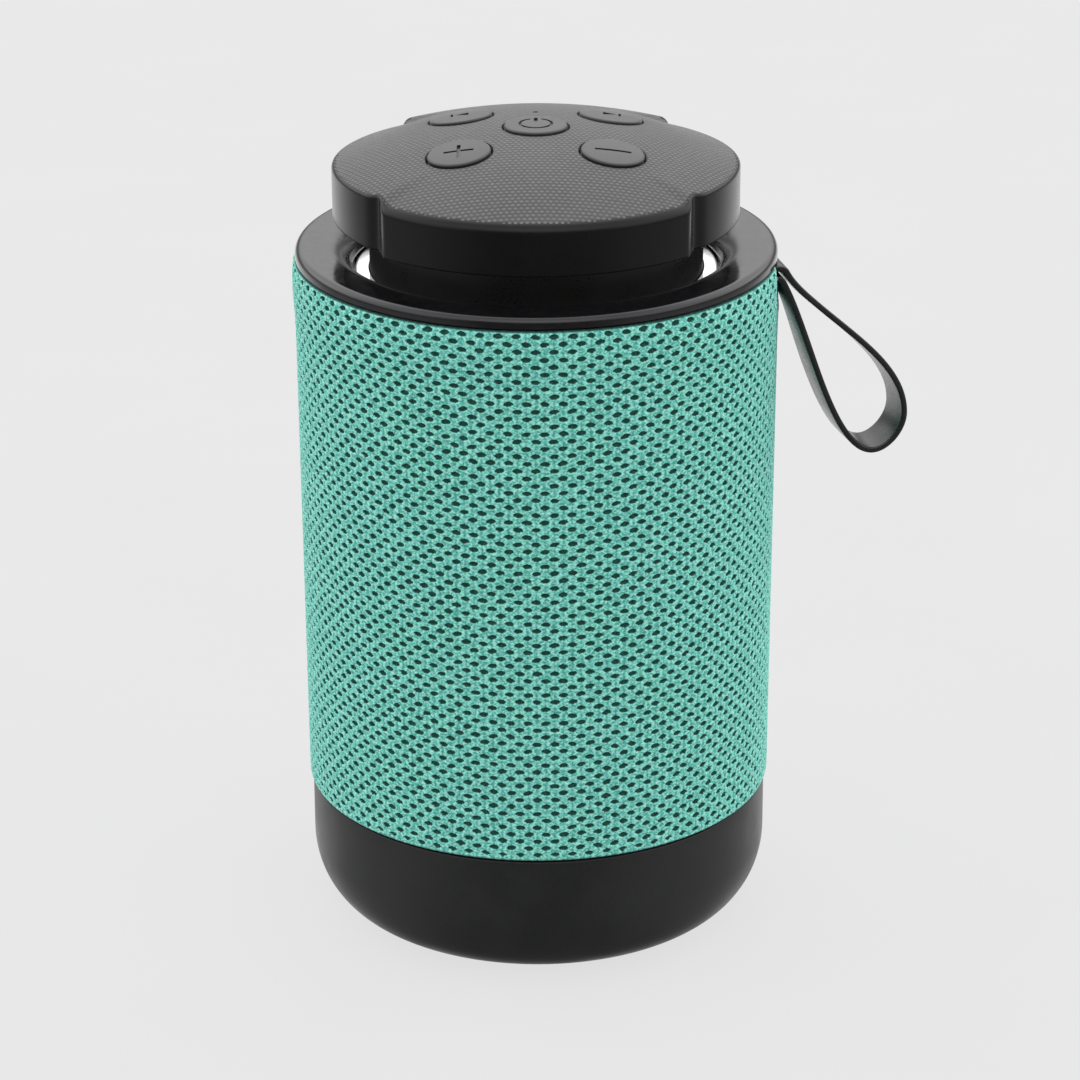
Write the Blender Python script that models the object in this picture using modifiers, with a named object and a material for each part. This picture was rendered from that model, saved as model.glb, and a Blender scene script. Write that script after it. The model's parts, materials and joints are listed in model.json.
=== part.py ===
"""Portable cylindrical speaker: fabric-wrapped body, raised control cap, wrist strap.

All dimensions below are in millimetres and are scaled to metres as meshes are made.
+Z is up, the front of the speaker faces -Y and the foot rests on z = 0.
"""
import math

import bmesh
import bpy
from mathutils import Matrix, Vector

MM = 0.001

for _ob in list(bpy.data.objects):
    bpy.data.objects.remove(_ob, do_unlink=True)

PARTS = bpy.data.collections.new("portable_speaker")
CUTTERS = bpy.data.collections.new("cutters")
bpy.context.scene.collection.children.link(PARTS)
bpy.context.scene.collection.children.link(CUTTERS)


# ---------------------------------------------------------------- materials
def material(name, rgb, rough, metal=0.0, coat=0.0):
    m = bpy.data.materials.new(name)
    m.use_nodes = True
    b = m.node_tree.nodes["Principled BSDF"]
    b.inputs["Base Color"].default_value = (rgb[0], rgb[1], rgb[2], 1.0)
    b.inputs["Roughness"].default_value = rough
    b.inputs["Metallic"].default_value = metal
    b.inputs["Coat Weight"].default_value = coat
    m.diffuse_color = (rgb[0], rgb[1], rgb[2], 1.0)
    return m


# ---------------------------------------------------------------- helpers
def register(ob, mat=None):
    if mat is None:
        CUTTERS.objects.link(ob)
        ob.hide_render = True
        ob.display_type = "WIRE"
    else:
        PARTS.objects.link(ob)
        ob.data.materials.append(mat)
    return ob


def mesh_object(name, verts, faces, mat=None, smooth=False, edges=()):
    me = bpy.data.meshes.new(name)
    me.from_pydata([(x * MM, y * MM, z * MM) for x, y, z in verts], list(edges), faces)
    me.update()
    if smooth:
        for p in me.polygons:
            p.use_smooth = True
    return register(bpy.data.objects.new(name, me), mat)


def lathe(name, pts, segs, mat=None, closed=True, at=(0, 0, 0), turn=None):
    """Turned solid. pts are (r, z), running down the outer side at +X."""
    n = len(pts)
    edges = [(i, i + 1) for i in range(n - 1)]
    if closed:
        edges.append((n - 1, 0))
    ob = mesh_object(name, [(r, 0, z) for r, z in pts], [], mat, edges=edges)
    mod = ob.modifiers.new("turn", "SCREW")
    mod.axis = "Z"
    mod.angle = 2 * math.pi
    mod.steps = segs
    mod.render_steps = segs
    mod.use_merge_vertices = True
    mod.merge_threshold = 0.00001
    mod.use_smooth_shade = True
    ob.location = Vector(at) * MM
    if turn is not None:
        ob.rotation_euler = turn
    return ob


def from_bmesh(name, bm, mat=None, smooth=False):
    me = bpy.data.meshes.new(name)
    bm.to_mesh(me)
    bm.free()
    if smooth:
        me.shade_smooth()
        me.set_sharp_from_angle(angle=math.radians(35))
    return register(bpy.data.objects.new(name, me), mat)


def boxes(name, items, mat=None, frame=None, turns=None):
    """Cubes stretched to (lo, hi); all in one frame, or each in its own frame of turns."""
    bm = bmesh.new()
    for k, (lo, hi) in enumerate(items):
        f = turns[k] if turns else frame
        for v in bmesh.ops.create_cube(bm, size=1.0)["verts"]:
            v.co = Vector([(lo[i] + hi[i]) / 2 + v.co[i] * (hi[i] - lo[i]) for i in range(3)])
            v.co = (f @ v.co if f is not None else v.co) * MM
    bmesh.ops.recalc_face_normals(bm, faces=bm.faces)
    return from_bmesh(name, bm, mat)


def turned_mesh(prof, segs):
    """Mesh of a stepped pin: a profile (r, h) listed from the low end up, turned with a Screw."""
    pts = [(0.0, prof[-1][1])] + list(reversed(prof)) + [(0.0, prof[0][1])]
    tmp = lathe("turning", pts, segs, closed=False)
    me = bpy.data.meshes.new_from_object(tmp.evaluated_get(bpy.context.evaluated_depsgraph_get()))
    bpy.data.objects.remove(tmp, do_unlink=True)
    return me


def rods(name, items, mat=None, segs=16, smooth=True):
    """Round pins: (centre, axis, [(r, h), ...]) listed from the low end up. Plain ones are cylinders."""
    bm = bmesh.new()
    for centre, axis, prof in items:
        place = Vector(axis).normalized().to_track_quat("Z", "Y").to_matrix().to_4x4()
        place.translation = Vector(centre) * MM
        if len(prof) == 2:
            (r0, h0), (r1, h1) = prof
            place = place @ Matrix.Translation((0, 0, (h0 + h1) / 2 * MM))
            bmesh.ops.create_cone(bm, cap_ends=True, cap_tris=False, segments=segs, radius1=r0 * MM, radius2=r1 * MM,
                                  depth=(h1 - h0) * MM, matrix=place)
        else:
            part = bmesh.new()
            part.from_mesh(turned_mesh(prof, segs))
            bmesh.ops.remove_doubles(part, verts=part.verts, dist=0.000005)
            bmesh.ops.recalc_face_normals(part, faces=part.faces)
            part.transform(place)
            me = bpy.data.meshes.new("part")
            part.to_mesh(me)
            part.free()
            bm.from_mesh(me)
    return from_bmesh(name, bm, mat, smooth)


def slab(name, poly, z0, z1, frame, mat=None):
    """Flat outline pushed from z0 to z1 in a frame."""
    place = frame.copy()
    place.translation = frame @ Vector((0, 0, (z0 + z1) / 2)) * MM
    return prism(name, [poly], z1 - z0, mat, place)


def boolean(ob, other, op="DIFFERENCE"):
    mod = ob.modifiers.new(op.lower() + "_" + other.name, "BOOLEAN")
    mod.operation = op
    mod.object = other
    mod.solver = "EXACT"
    return ob


def arc(cx, cz, r, a0, a1, n):
    return [(cx + r * math.cos(math.radians(a0 + (a1 - a0) * i / n)),
             cz + r * math.sin(math.radians(a0 + (a1 - a0) * i / n))) for i in range(n + 1)]


def prism(name, outlines, depth, mat=None, frame=None):
    """Flat 2D outlines (first outer, rest holes) extruded by depth about their plane."""
    cu = bpy.data.curves.new(name, "CURVE")
    cu.dimensions = "2D"
    cu.fill_mode = "BOTH"
    cu.extrude = depth * MM / 2
    for pts in outlines:
        sp = cu.splines.new("POLY")
        sp.points.add(len(pts) - 1)
        for p, (x, y) in zip(sp.points, pts):
            p.co = (x * MM, y * MM, 0, 1)
        sp.use_cyclic_u = True
    tmp = bpy.data.objects.new(name + "_outline", cu)
    CUTTERS.objects.link(tmp)
    dg = bpy.context.evaluated_depsgraph_get()
    me = bpy.data.meshes.new_from_object(tmp.evaluated_get(dg))
    bpy.data.objects.remove(tmp, do_unlink=True)
    bm = bmesh.new()
    bm.from_mesh(me)
    bmesh.ops.remove_doubles(bm, verts=bm.verts, dist=0.000005)
    bmesh.ops.recalc_face_normals(bm, faces=bm.faces)
    if frame is not None:
        bm.transform(frame)
    bm.to_mesh(me)
    bm.free()
    me.name = name
    return register(bpy.data.objects.new(name, me), mat)


# ---------------------------------------------------------------- dimensions
FABRIC_TOP_R, FABRIC_LOW_R = 39.0, 38.5
FABRIC_Z0, FABRIC_Z1 = 23.4, 113.6
BASE_R, BASE_TOP, FOOT_R = 38.05, 23.0, 28.2
CAP_R, BLOCK_R, BLOCK_HALF = 32.7, 34.0, 24.2
CAP_Z0, DOME_TOP, DOME_DROP, DOME_EDGE = 120.6, 134.8, 5.8, 32.5
BUTTON_R, HOLE_R, TRAVEL = 5.2, 5.65, 0.4


def dome(r, lower=0.0):
    return DOME_TOP - DOME_DROP * (r / DOME_EDGE) ** 2 - lower


# ---------------------------------------------------------------- base cup
def base_outer(z):
    """Outer radius of the base: straight wall over a quarter ellipse down to the foot."""
    if z >= 12.7:
        return BASE_R
    t = (12.7 - z) / 12.3
    return FOOT_R + (BASE_R - FOOT_R) * math.sqrt(max(0.0, 1 - t * t))


satin_black = material("base_black", (0.02, 0.02, 0.021), 0.42)
curve_steps = [12.7 - 12.3 * math.sin(math.radians(90 * i / 8)) for i in range(9)]
outer = [(BASE_R - 0.35, BASE_TOP), (BASE_R, BASE_TOP - 0.35)]
outer += [(base_outer(z), z) for z in curve_steps]
inner_steps = [4.4 + (12.7 - 4.4) * i / 3 for i in range(4)]
inner = [(base_outer(z) - 2.15, z) for z in inner_steps] + [(BASE_R - 2.15, BASE_TOP)]
profile = outer + [(25.9, 0.4), (25.9, 1.6), (0.0, 1.6)]
base = lathe("base_cup", [(0.0, 4.4)] + inner + profile, 56, satin_black, closed=False)

SCREW_AT = [(-14.0, -17.5), (14.0, -17.5), (-19.5, 13.0), (19.5, 13.0)]
boolean(base, rods("base_screw_holes", [((x, y, 0), (0, 0, 1), [(2.8, 1.0), (2.8, 2.9), (1.6, 2.95), (1.6, 5.0)])
                                        for x, y in SCREW_AT], segs=12))

# rear recess for the port cover and the three port mouths
recess = lathe("port_recess_sweep", [(41.0, 21.8), (41.0, 13.2), (36.9, 13.2), (36.9, 21.8)], 48)
boolean(recess, boxes("port_recess_window", [((-15.5, 30.0, 12.0), (15.5, 45.0, 23.0))]), "INTERSECT")
boolean(base, recess)
boolean(base, boxes("usb_mouth", [((-13.8, 30.0, 15.2), (-5.2, 40.0, 18.8))]))
boolean(base, rods("jack_mouth", [((0, 30, 18.5), (0, 1, 0), [(2.1, 0), (2.1, 10)])]))
boolean(base, boxes("card_mouth", [((4.0, 30.0, 15.7), (14.2, 40.0, 17.5))]))

foot_rubber = material("foot_rubber", (0.03, 0.03, 0.03), 0.8)
foot_profile = [(0.0, 1.3), (25.5, 1.3), (25.5, 0.3), (25.2, 0.0), (20.0, 0.0), (19.6, 0.4),
                (17.4, 0.4), (17.0, 0.0), (0.0, 0.0)]
lathe("foot_pad", foot_profile, 32, foot_rubber, closed=False)

screw_steel = material("screw_steel", (0.35, 0.35, 0.36), 0.35, 1.0)
for i, (x, y) in enumerate(SCREW_AT):
    screw = rods("base_screw_%d" % (i + 1), [((x, y, 0), (0, 0, 1), [(2.3, 1.75), (2.45, 1.9), (2.45, 2.65), (1.1, 2.65), (1.1, 11.6), (0.6, 12.2)])],
                 screw_steel, segs=12)
    boolean(screw, boxes("base_screw_slot_%d" % (i + 1), [((x - 1.5, y - 0.3, 1.2), (x + 1.5, y + 0.3, 2.2))]))

# ---------------------------------------------------------------- chassis
chassis_black = material("chassis_black", (0.035, 0.035, 0.037), 0.55)
chassis = lathe("chassis", [(34.0, 106.2), (34.0, 26.0), (4.0, 26.0), (4.0, 28.0), (32.2, 28.0),
                            (32.2, 104.4), (10.0, 104.4), (10.0, 106.2)], 40, chassis_black)
boolean(chassis, boxes("driver_windows", [((-25.0, -45.0, 42.0), (25.0, -25.2, 92.0)),
                                          ((-25.0, 25.2, 42.0), (25.0, 45.0, 92.0))]))
baffle = lathe("baffle_round", [(0.0, 94.5), (33.2, 94.5), (33.2, 39.5), (0.0, 39.5)], 40, closed=False)
boolean(baffle, boxes("baffle_slabs", [((-40, -25.0, 39.8), (40, -22.6, 94.2)), ((-40, 22.6, 39.8), (40, 25.0, 94.2)),
                                       ((-40, -40.0, 39.8), (40, -24.0, 41.6)), ((-40, 24.0, 39.8), (40, 40.0, 41.6)),
                                       ((-40, -40.0, 92.4), (40, -24.0, 94.2)), ((-40, 24.0, 92.4), (40, 40.0, 94.2))]), "INTERSECT")
boolean(chassis, baffle, "UNION")
boolean(chassis, rods("driver_holes", [((0, -30, 67), (0, 1, 0), [(20.4, 0), (20.4, 60)])], segs=24))
boolean(chassis, rods("chassis_posts", [((x, y, 0), (0, 0, 1), [(2.8, 4.7), (2.8, 27.0)]) for x, y in SCREW_AT], segs=12), "UNION")
boolean(chassis, rods("chassis_post_bores", [((x, y, 0), (0, 0, 1), [(1.4, 4.0), (1.4, 13.0)]) for x, y in SCREW_AT], segs=10))

# ---------------------------------------------------------------- fabric carrier and sleeve
cage_black = material("cage_black", (0.03, 0.03, 0.032), 0.5)
cage = lathe("grille_cage", [(37.7, 113.4), (37.7, 23.4), (35.5, 23.4), (35.5, 20.6), (34.4, 20.6),
                             (34.4, 25.0), (36.75, 25.0), (36.75, 113.4)], 48, cage_black)
slot_turns = [Matrix.Rotation(math.radians(side * 90 + k * 11.0), 4, "Z") for side in (-1, 1) for k in range(-3, 4)]
boolean(cage, boxes("cage_slots", [((34.0, -1.6, 45.0), (40.0, 1.6, 90.0))] * len(slot_turns), turns=slot_turns))

fabric_green = material("mesh_fabric", (0.09, 0.36, 0.29), 0.85)
sleeve_out = [(FABRIC_TOP_R - 1.0, FABRIC_Z1), (FABRIC_TOP_R - 0.35, FABRIC_Z1 - 0.12), (FABRIC_TOP_R, FABRIC_Z1 - 0.8),
              (FABRIC_LOW_R, FABRIC_Z0 + 0.5), (FABRIC_LOW_R - 0.3, FABRIC_Z0)]
sleeve = lathe("fabric_sleeve", sleeve_out + [(37.95, FABRIC_Z0), (37.95, FABRIC_Z1)], 48, fabric_green)

# ---------------------------------------------------------------- top ring and trim
gloss_black = material("ring_gloss", (0.012, 0.012, 0.013), 0.12, coat=0.5)
bell = [(29.5, 110.5), (29.5, 111.7), (29.95, 113.0), (30.9, 114.5), (31.8, 115.35), (32.9, 115.7)]
ring = lathe("top_ring", [(37.7, 115.7), (38.3, 115.55), (38.72, 115.15), (38.9, 114.5), (38.9, 113.9), (36.4, 113.9),
                          (36.4, 106.9), (34.9, 106.9), (34.9, 109.2), (27.3, 109.2), (27.3, 110.5)] + bell, 48, gloss_black)

chrome = material("trim_chrome", (0.8, 0.8, 0.82), 0.06, 1.0)
lathe("trim_ring", [(29.0, 111.7), (29.2, 111.5), (29.2, 110.8), (27.6, 110.8), (27.6, 111.7)], 48, chrome)

# ---------------------------------------------------------------- cap neck
neck_black = material("neck_black", (0.02, 0.02, 0.021), 0.3)
lathe("cap_neck", [(26.9, 120.3), (26.9, 108.2), (29.0, 108.2), (29.0, 106.6), (25.2, 106.6), (25.2, 120.3)], 40, neck_black)

# ---------------------------------------------------------------- cap plate
cap_black = material("cap_black", (0.045, 0.045, 0.047), 0.5)
CAP_SCREW_AT = [(28.3 * math.cos(math.radians(a)), 28.3 * math.sin(math.radians(a))) for a in (0, 90, 180, 270)]
POST_AT = [(19.0 * math.cos(math.radians(a)), 19.0 * math.sin(math.radians(a))) for a in (0, 120, 240)]
plate = lathe("cap_plate", [(30.6, 122.4), (30.6, 120.9), (12.0, 120.9), (12.0, 122.4)], 40, cap_black)
boolean(plate, rods("plate_posts", [((x, y, 0), (0, 0, 1), [(1.6, 121.5), (1.6, 125.5)]) for x, y in POST_AT], segs=10), "UNION")
boolean(plate, rods("plate_screw_holes", [((x, y, 0), (0, 0, 1), [(2.1, 120.0), (2.1, 121.9), (1.3, 121.9), (1.3, 123.0)])
                                          for x, y in CAP_SCREW_AT], segs=12))
for i, (x, y) in enumerate(CAP_SCREW_AT):
    rods("cap_screw_%d" % (i + 1), [((x, y, 0), (0, 0, 1), [(1.6, 121.0), (1.8, 121.2), (1.8, 121.6), (0.9, 121.6), (0.9, 126.0)])],
         screw_steel, segs=12)

# ---------------------------------------------------------------- cap shell
EDGE_ROUND = 1.8


def cap_radius(angle):
    """Outline of the cap in plan: two side lobes at CAP_R, a wider front and back block at BLOCK_R,
    and a shallow cove where each lobe runs into a block."""
    x, y = math.cos(angle), math.sin(angle)
    t = math.degrees(math.atan2(abs(y), abs(x)))
    lo, hi = (41.0, 46.5) if y < 0 else (49.0, 55.0)
    k = min(1.0, max(0.0, (t - lo) / (hi - lo)))
    return CAP_R + (BLOCK_R - CAP_R) * k * k * (3 - 2 * k) - 0.6 * math.exp(-((t - lo + 1.2) / 2.2) ** 2)


def cap_section(r):
    """Half section of the cap at outline radius r, from beside the crown to the underside."""
    a0 = 70.5
    rs = r - EDGE_ROUND * (1 - math.cos(math.radians(a0)))
    zc = dome(rs) - EDGE_ROUND * math.sin(math.radians(a0))
    line = [(rs * i / 7, dome(rs * i / 7)) for i in range(1, 8)]
    line += arc(r - EDGE_ROUND, zc, EDGE_ROUND, 47, 0, 2)
    return line + [(r, CAP_Z0 + 0.4), (r - 0.4, CAP_Z0)]


CAP_STEPS = 90
sections = [cap_section(cap_radius(2 * math.pi * j / CAP_STEPS)) for j in range(CAP_STEPS)]
m = len(sections[0])
cap_verts = [(r * math.cos(2 * math.pi * j / CAP_STEPS), r * math.sin(2 * math.pi * j / CAP_STEPS), z)
             for j, sec in enumerate(sections) for r, z in sec]
cap_verts += [(0, 0, DOME_TOP), (0, 0, CAP_Z0)]
crown, under = len(cap_verts) - 2, len(cap_verts) - 1
cap_faces = []
for j in range(CAP_STEPS):
    k = (j + 1) % CAP_STEPS
    cap_faces += [(crown, j * m, k * m), (under, k * m + m - 1, j * m + m - 1)]
    cap_faces += [(j * m + i, j * m + i + 1, k * m + i + 1, k * m + i) for i in range(m - 1)]
shell = mesh_object("cap_shell", cap_verts, cap_faces, cap_black, smooth=True)
cavity = lathe("cap_cavity", [(30.9 * i / 3, dome(30.9 * i / 3, 1.8)) for i in range(4)] + [(31.0, 119.0), (0.0, 119.0)], 40, closed=False)
boolean(shell, cavity)
boolean(shell, rods("shell_bosses", [((x, y, 0), (0, 0, 1), [(2.6, 122.7), (2.6, 129.4)]) for x, y in CAP_SCREW_AT], segs=12), "UNION")
boolean(shell, rods("shell_boss_bores", [((x, y, 0), (0, 0, 1), [(1.2, 122.0), (1.2, 127.0)]) for x, y in CAP_SCREW_AT], segs=10))

BUTTONS = {"button_power": (0.0, 0.0), "button_plus": (-12.1, -10.5), "button_minus": (12.1, -10.5),
           "button_back_left": (-12.1, 9.2), "button_back_right": (12.1, 9.2)}


def button_frame(x, y):
    """Frame on the dome at plan point (x, y): local Z is the dome's outward normal."""
    r = math.hypot(x, y)
    slope = 2 * DOME_DROP * r / DOME_EDGE ** 2
    n = Vector((slope * x / r, slope * y / r, 1.0)).normalized() if r > 0 else Vector((0, 0, 1))
    ex = (Vector((1, 0, 0)) - n * n.x).normalized()
    ey = n.cross(ex)
    m = Matrix((ex, ey, n)).transposed().to_4x4()
    m.translation = Vector((x, y, dome(r)))
    return m


holes = []
for x, y in BUTTONS.values():
    m = button_frame(x, y)
    n = m.to_3x3() @ Vector((0, 0, 1))
    holes.append((tuple(m.translation), tuple(n), [(HOLE_R, -5.0), (HOLE_R, 4.0)]))
boolean(shell, rods("button_holes", holes, segs=24))
LED_AT = (0.0, 9.7)
boolean(shell, rods("led_hole", [((LED_AT[0], LED_AT[1], 0), (0, 0, 1), [(0.7, 130.0), (0.7, 137.0)])], segs=16))

# ---------------------------------------------------------------- buttons
button_black = material("button_black", (0.04, 0.04, 0.042), 0.45)
SWITCH_TOP = 128.2
switches, switch_pads = [], []
for name, (x, y) in BUTTONS.items():
    m = button_frame(x, y)
    n = m.to_3x3() @ Vector((0, 0, 1))
    stem_end = (SWITCH_TOP + TRAVEL + 0.25 - m.translation.z) / n.z
    prof = [(0.0, 0.85), (2.6, 0.78), (4.4, 0.62), (4.9, 0.42), (BUTTON_R, 0.0),
            (BUTTON_R, -2.15), (6.2, -2.15), (6.2, -3.0), (1.3, -3.0), (1.3, stem_end), (0.0, stem_end)]
    ob = lathe(name, prof, 20, button_black, closed=False)
    ob.matrix_world = Matrix.Translation(m.translation * MM) @ m.to_3x3().to_4x4()
    # engraved control mark
    if name == "button_power":
        mark = lathe(name + "_ring", [(2.65, 1.5), (2.65, 0.4), (2.15, 0.4), (2.15, 1.5)], 24, at=m.translation)
        gap = boxes(name + "_gap", [((-0.85, 1.2, 0.0), (0.85, 3.2, 2.0))], frame=m)
        boolean(mark, gap)
        boolean(ob, mark)
        boolean(ob, boxes(name + "_bar", [((-0.3, 0.7, 0.4), (0.3, 3.0, 1.5))], frame=m))
        continue
    if name == "button_minus":
        bars = [((-2.9, -0.35, 0.42), (2.9, 0.35, 1.5))]
    elif name == "button_plus":
        cross = []
        for k in range(4):
            c, s = math.cos(math.pi / 2 * k), math.sin(math.pi / 2 * k)
            cross += [(c * x - s * y, s * x + c * y) for x, y in ((0.35, -0.35), (2.4, -0.35), (2.4, 0.35))]
        boolean(ob, slab(name + "_mark", cross, 0.42, 1.5, m))
        continue
    else:
        # skip mark: a bar and a triangle pointing at it
        way = -1 if name == "button_back_left" else 1
        boolean(ob, slab(name + "_arrow", [(way * -1.5, -1.25), (way * 1.2, 0.0), (way * -1.5, 1.25)], 0.42, 1.5, m))
        bars = [((min(way * 1.5, way * 2.0), -1.25, 0.42), (max(way * 1.5, way * 2.0), 1.25, 1.5))]
    marks = boxes(name + "_mark", bars, frame=m)
    boolean(ob, marks)

lens_clear = material("led_lens_clear", (0.75, 0.78, 0.8), 0.15)
rods("led_lens", [((LED_AT[0], LED_AT[1], 0), (0, 0, 1), [(0.4, 127.4), (0.4, dome(9.7) - 0.3), (0.3, dome(9.7) - 0.2)])], lens_clear, segs=16)

# ---------------------------------------------------------------- key board, switches, microphone
pcb_green = material("pcb_green", (0.02, 0.12, 0.05), 0.4)
lathe("key_board", [(0.0, 127.0), (22.0, 127.0), (22.0, 125.8), (0.0, 125.8)], 32, pcb_green, closed=False)
switch_metal = material("switch_metal", (0.5, 0.5, 0.52), 0.35, 1.0)
for name, (x, y) in BUTTONS.items():
    m = button_frame(x, y)
    n = m.to_3x3() @ Vector((0, 0, 1))
    k = (SWITCH_TOP - m.translation.z) / n.z
    cx, cy = m.translation.x + n.x * k, m.translation.y + n.y * k
    sw = boxes(name.replace("button", "switch"), [((cx - 2.6, cy - 2.6, 127.3), (cx + 2.6, cy + 2.6, 127.8))], switch_metal)
    boolean(sw, rods(sw.name + "_stud", [((cx, cy, 0), (0, 0, 1), [(1.5, 127.5), (1.5, SWITCH_TOP)])], segs=16), "UNION")
rods("microphone", [((6.5, 14.5, 0), (0, 0, 1), [(2.0, 127.1), (2.0, 129.0), (1.8, 129.2)])], switch_metal, segs=24)
ribbon_grey = material("ribbon_grey", (0.4, 0.4, 0.42), 0.5)
boxes("ribbon_cable", [((-4.0, -7.25, 98.0), (4.0, -6.85, 125.5))], ribbon_grey)

# ---------------------------------------------------------------- full-range driver (front)
FRONT = (math.radians(90), 0, 0)
REAR = (math.radians(-90), 0, 0)
DRIVER_AT = (0, 0, 67)
basket_steel = material("basket_steel", (0.06, 0.06, 0.065), 0.4, 0.6)
basket = lathe("driver_basket", [(23.4, 26.5), (23.4, 25.3), (20.0, 25.3), (19.4, 20.0), (15.4, 13.0), (9.0, 13.0), (9.0, 14.0),
                                 (14.7, 14.0), (18.4, 20.6), (18.9, 26.5)], 24, basket_steel, at=DRIVER_AT, turn=FRONT)
basket_turns = [Matrix.Translation(DRIVER_AT) @ Matrix.Rotation(math.radians(45 + 90 * k), 4, "Y") for k in range(4)]
boolean(basket, boxes("basket_windows", [((15.2, -20.2, -6.0), (24.0, -14.6, 6.0))] * 4, turns=basket_turns))
magnet_grey = material("magnet_grey", (0.25, 0.25, 0.26), 0.4, 0.9)
lathe("driver_magnet", [(0.0, 12.7), (12.2, 12.7), (13.0, 12.0), (13.0, 4.3), (12.2, 3.5), (0.0, 3.5)], 24, magnet_grey,
      closed=False, at=DRIVER_AT, turn=FRONT)
surround_rubber = material("surround_rubber", (0.02, 0.02, 0.02), 0.6)


def roll(r0, r1, w, h, t, n=3):
    """Half-roll section between radii r0 and r1, thickness t, with small flat lands."""
    c, a = (r0 + r1) / 2, (r1 - r0) / 2 - 0.5
    top = [(c + (a + t / 2) * math.cos(math.radians(x)), w + t / 2 + h * math.sin(math.radians(x)) * (a + t / 2) / a) for x in [180 * i / n for i in range(n, -1, -1)]]
    low = [(c + (a - t / 2) * math.cos(math.radians(x)), w - t / 2 + h * math.sin(math.radians(x))) for x in [180 * i / n for i in range(n + 1)]]
    return [(r0, w + t / 2)] + top + [(r1, w + t / 2), (r1, w - t / 2)] + low + [(r0, w - t / 2)]


lathe("driver_surround", roll(14.9, 18.6, 25.9, 1.5, 0.45), 20, surround_rubber, at=DRIVER_AT, turn=FRONT)
cone_paper = material("cone_paper", (0.05, 0.05, 0.05), 0.75)
cone = lathe("driver_cone", [(0.0, 24.2), (3.5, 23.7), (6.9, 21.6), (14.2, 26.1), (14.6, 26.1), (14.6, 25.6), (7.0, 20.4),
                             (7.0, 14.0), (6.4, 14.0), (6.4, 21.2), (0.0, 23.5)], 24, cone_paper, closed=False)
cone.matrix_world = Matrix.Translation(Vector(DRIVER_AT) * MM) @ Matrix.Rotation(FRONT[0], 4, "X")

# ---------------------------------------------------------------- passive radiator (rear)
lathe("radiator_frame", [(23.4, 26.5), (23.4, 25.3), (20.0, 25.3), (20.0, 21.5), (18.4, 21.5), (18.4, 26.5)], 24, basket_steel,
      at=DRIVER_AT, turn=REAR)
lathe("radiator_surround", roll(13.4, 18.1, 25.6, 1.6, 0.5), 20, surround_rubber, at=DRIVER_AT, turn=REAR)
radiator_metal = material("radiator_metal", (0.4, 0.4, 0.42), 0.3, 1.0)
lathe("radiator_plate", [(0.0, 26.2), (12.4, 26.2), (13.0, 25.8), (13.0, 25.0), (8.0, 25.0), (8.0, 22.6), (0.0, 22.6)], 24, radiator_metal,
      closed=False, at=DRIVER_AT, turn=REAR)
DRIVER_SCREWS = []
for k in range(4):
    a = math.radians(45 + 90 * k)
    DRIVER_SCREWS.append(((22.0 * math.cos(a), -25.3, 67 + 22.0 * math.sin(a)), (0, -1, 0)))
for i, (c, ax) in enumerate(DRIVER_SCREWS):
    rods("driver_screw_%d" % (i + 1), [(c, ax, [(0.5, -2.6), (0.5, 1.5), (1.1, 1.5), (1.1, 2.0), (0.8, 2.2)])], screw_steel, segs=12)
screw_ways = rods("driver_screw_ways", [(c, ax, [(0.8, -4.0), (0.8, 3.0)]) for c, ax in DRIVER_SCREWS], segs=12)
boolean(chassis, screw_ways)
boolean(basket, screw_ways)

# ---------------------------------------------------------------- battery, tray, main board, ports
cell_wrap = material("cell_wrap", (0.05, 0.12, 0.35), 0.35)
rods("battery_cell", [((-32.0, 0, 15.0), (1, 0, 0), [(8.3, 0.0), (9.0, 0.6), (9.0, 62.2), (7.6, 62.8), (4.0, 62.85), (4.0, 64.0)])],
     cell_wrap, segs=24)
tray_black = material("tray_black", (0.03, 0.03, 0.03), 0.6)
tray = boxes("battery_tray", [((-26, -9.6, 4.7), (26, 9.6, 11.0))], tray_black)
boolean(tray, rods("tray_trough", [((-40, 0, 15.0), (1, 0, 0), [(9.3, 0), (9.3, 80)])], segs=24))
boxes("main_board", [((-15.4, 11.2, 14.0), (15.4, 31.0, 15.2))], pcb_green)
port_metal = material("port_metal", (0.6, 0.6, 0.62), 0.25, 1.0)
usb = boxes("usb_port", [((-13.5, 25.6, 15.5), (-5.5, 32.8, 18.5))], port_metal)
boolean(usb, boxes("usb_cavity", [((-13.1, 27.5, 15.9), (-5.9, 34.0, 18.1))]))
boolean(usb, boxes("usb_tongue", [((-12.2, 26.5, 16.7), (-6.8, 32.2, 17.3))]), "UNION")
jack_black = material("jack_black", (0.03, 0.03, 0.03), 0.35)
jack = rods("audio_jack", [((0, 24.0, 18.5), (0, 1, 0), [(2.9, 0), (2.9, 9.8)])], jack_black, segs=24)
boolean(jack, rods("jack_bore", [((0, 24.0, 18.5), (0, 1, 0), [(1.8, 1.5), (1.8, 11.0)])], segs=20))
card = boxes("card_slot", [((4.1, 20.0, 15.5), (14.0, 32.4, 17.7))], port_metal)
boolean(card, boxes("card_cavity", [((4.6, 21.0, 16.0), (13.5, 34.0, 17.2))]))

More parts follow.
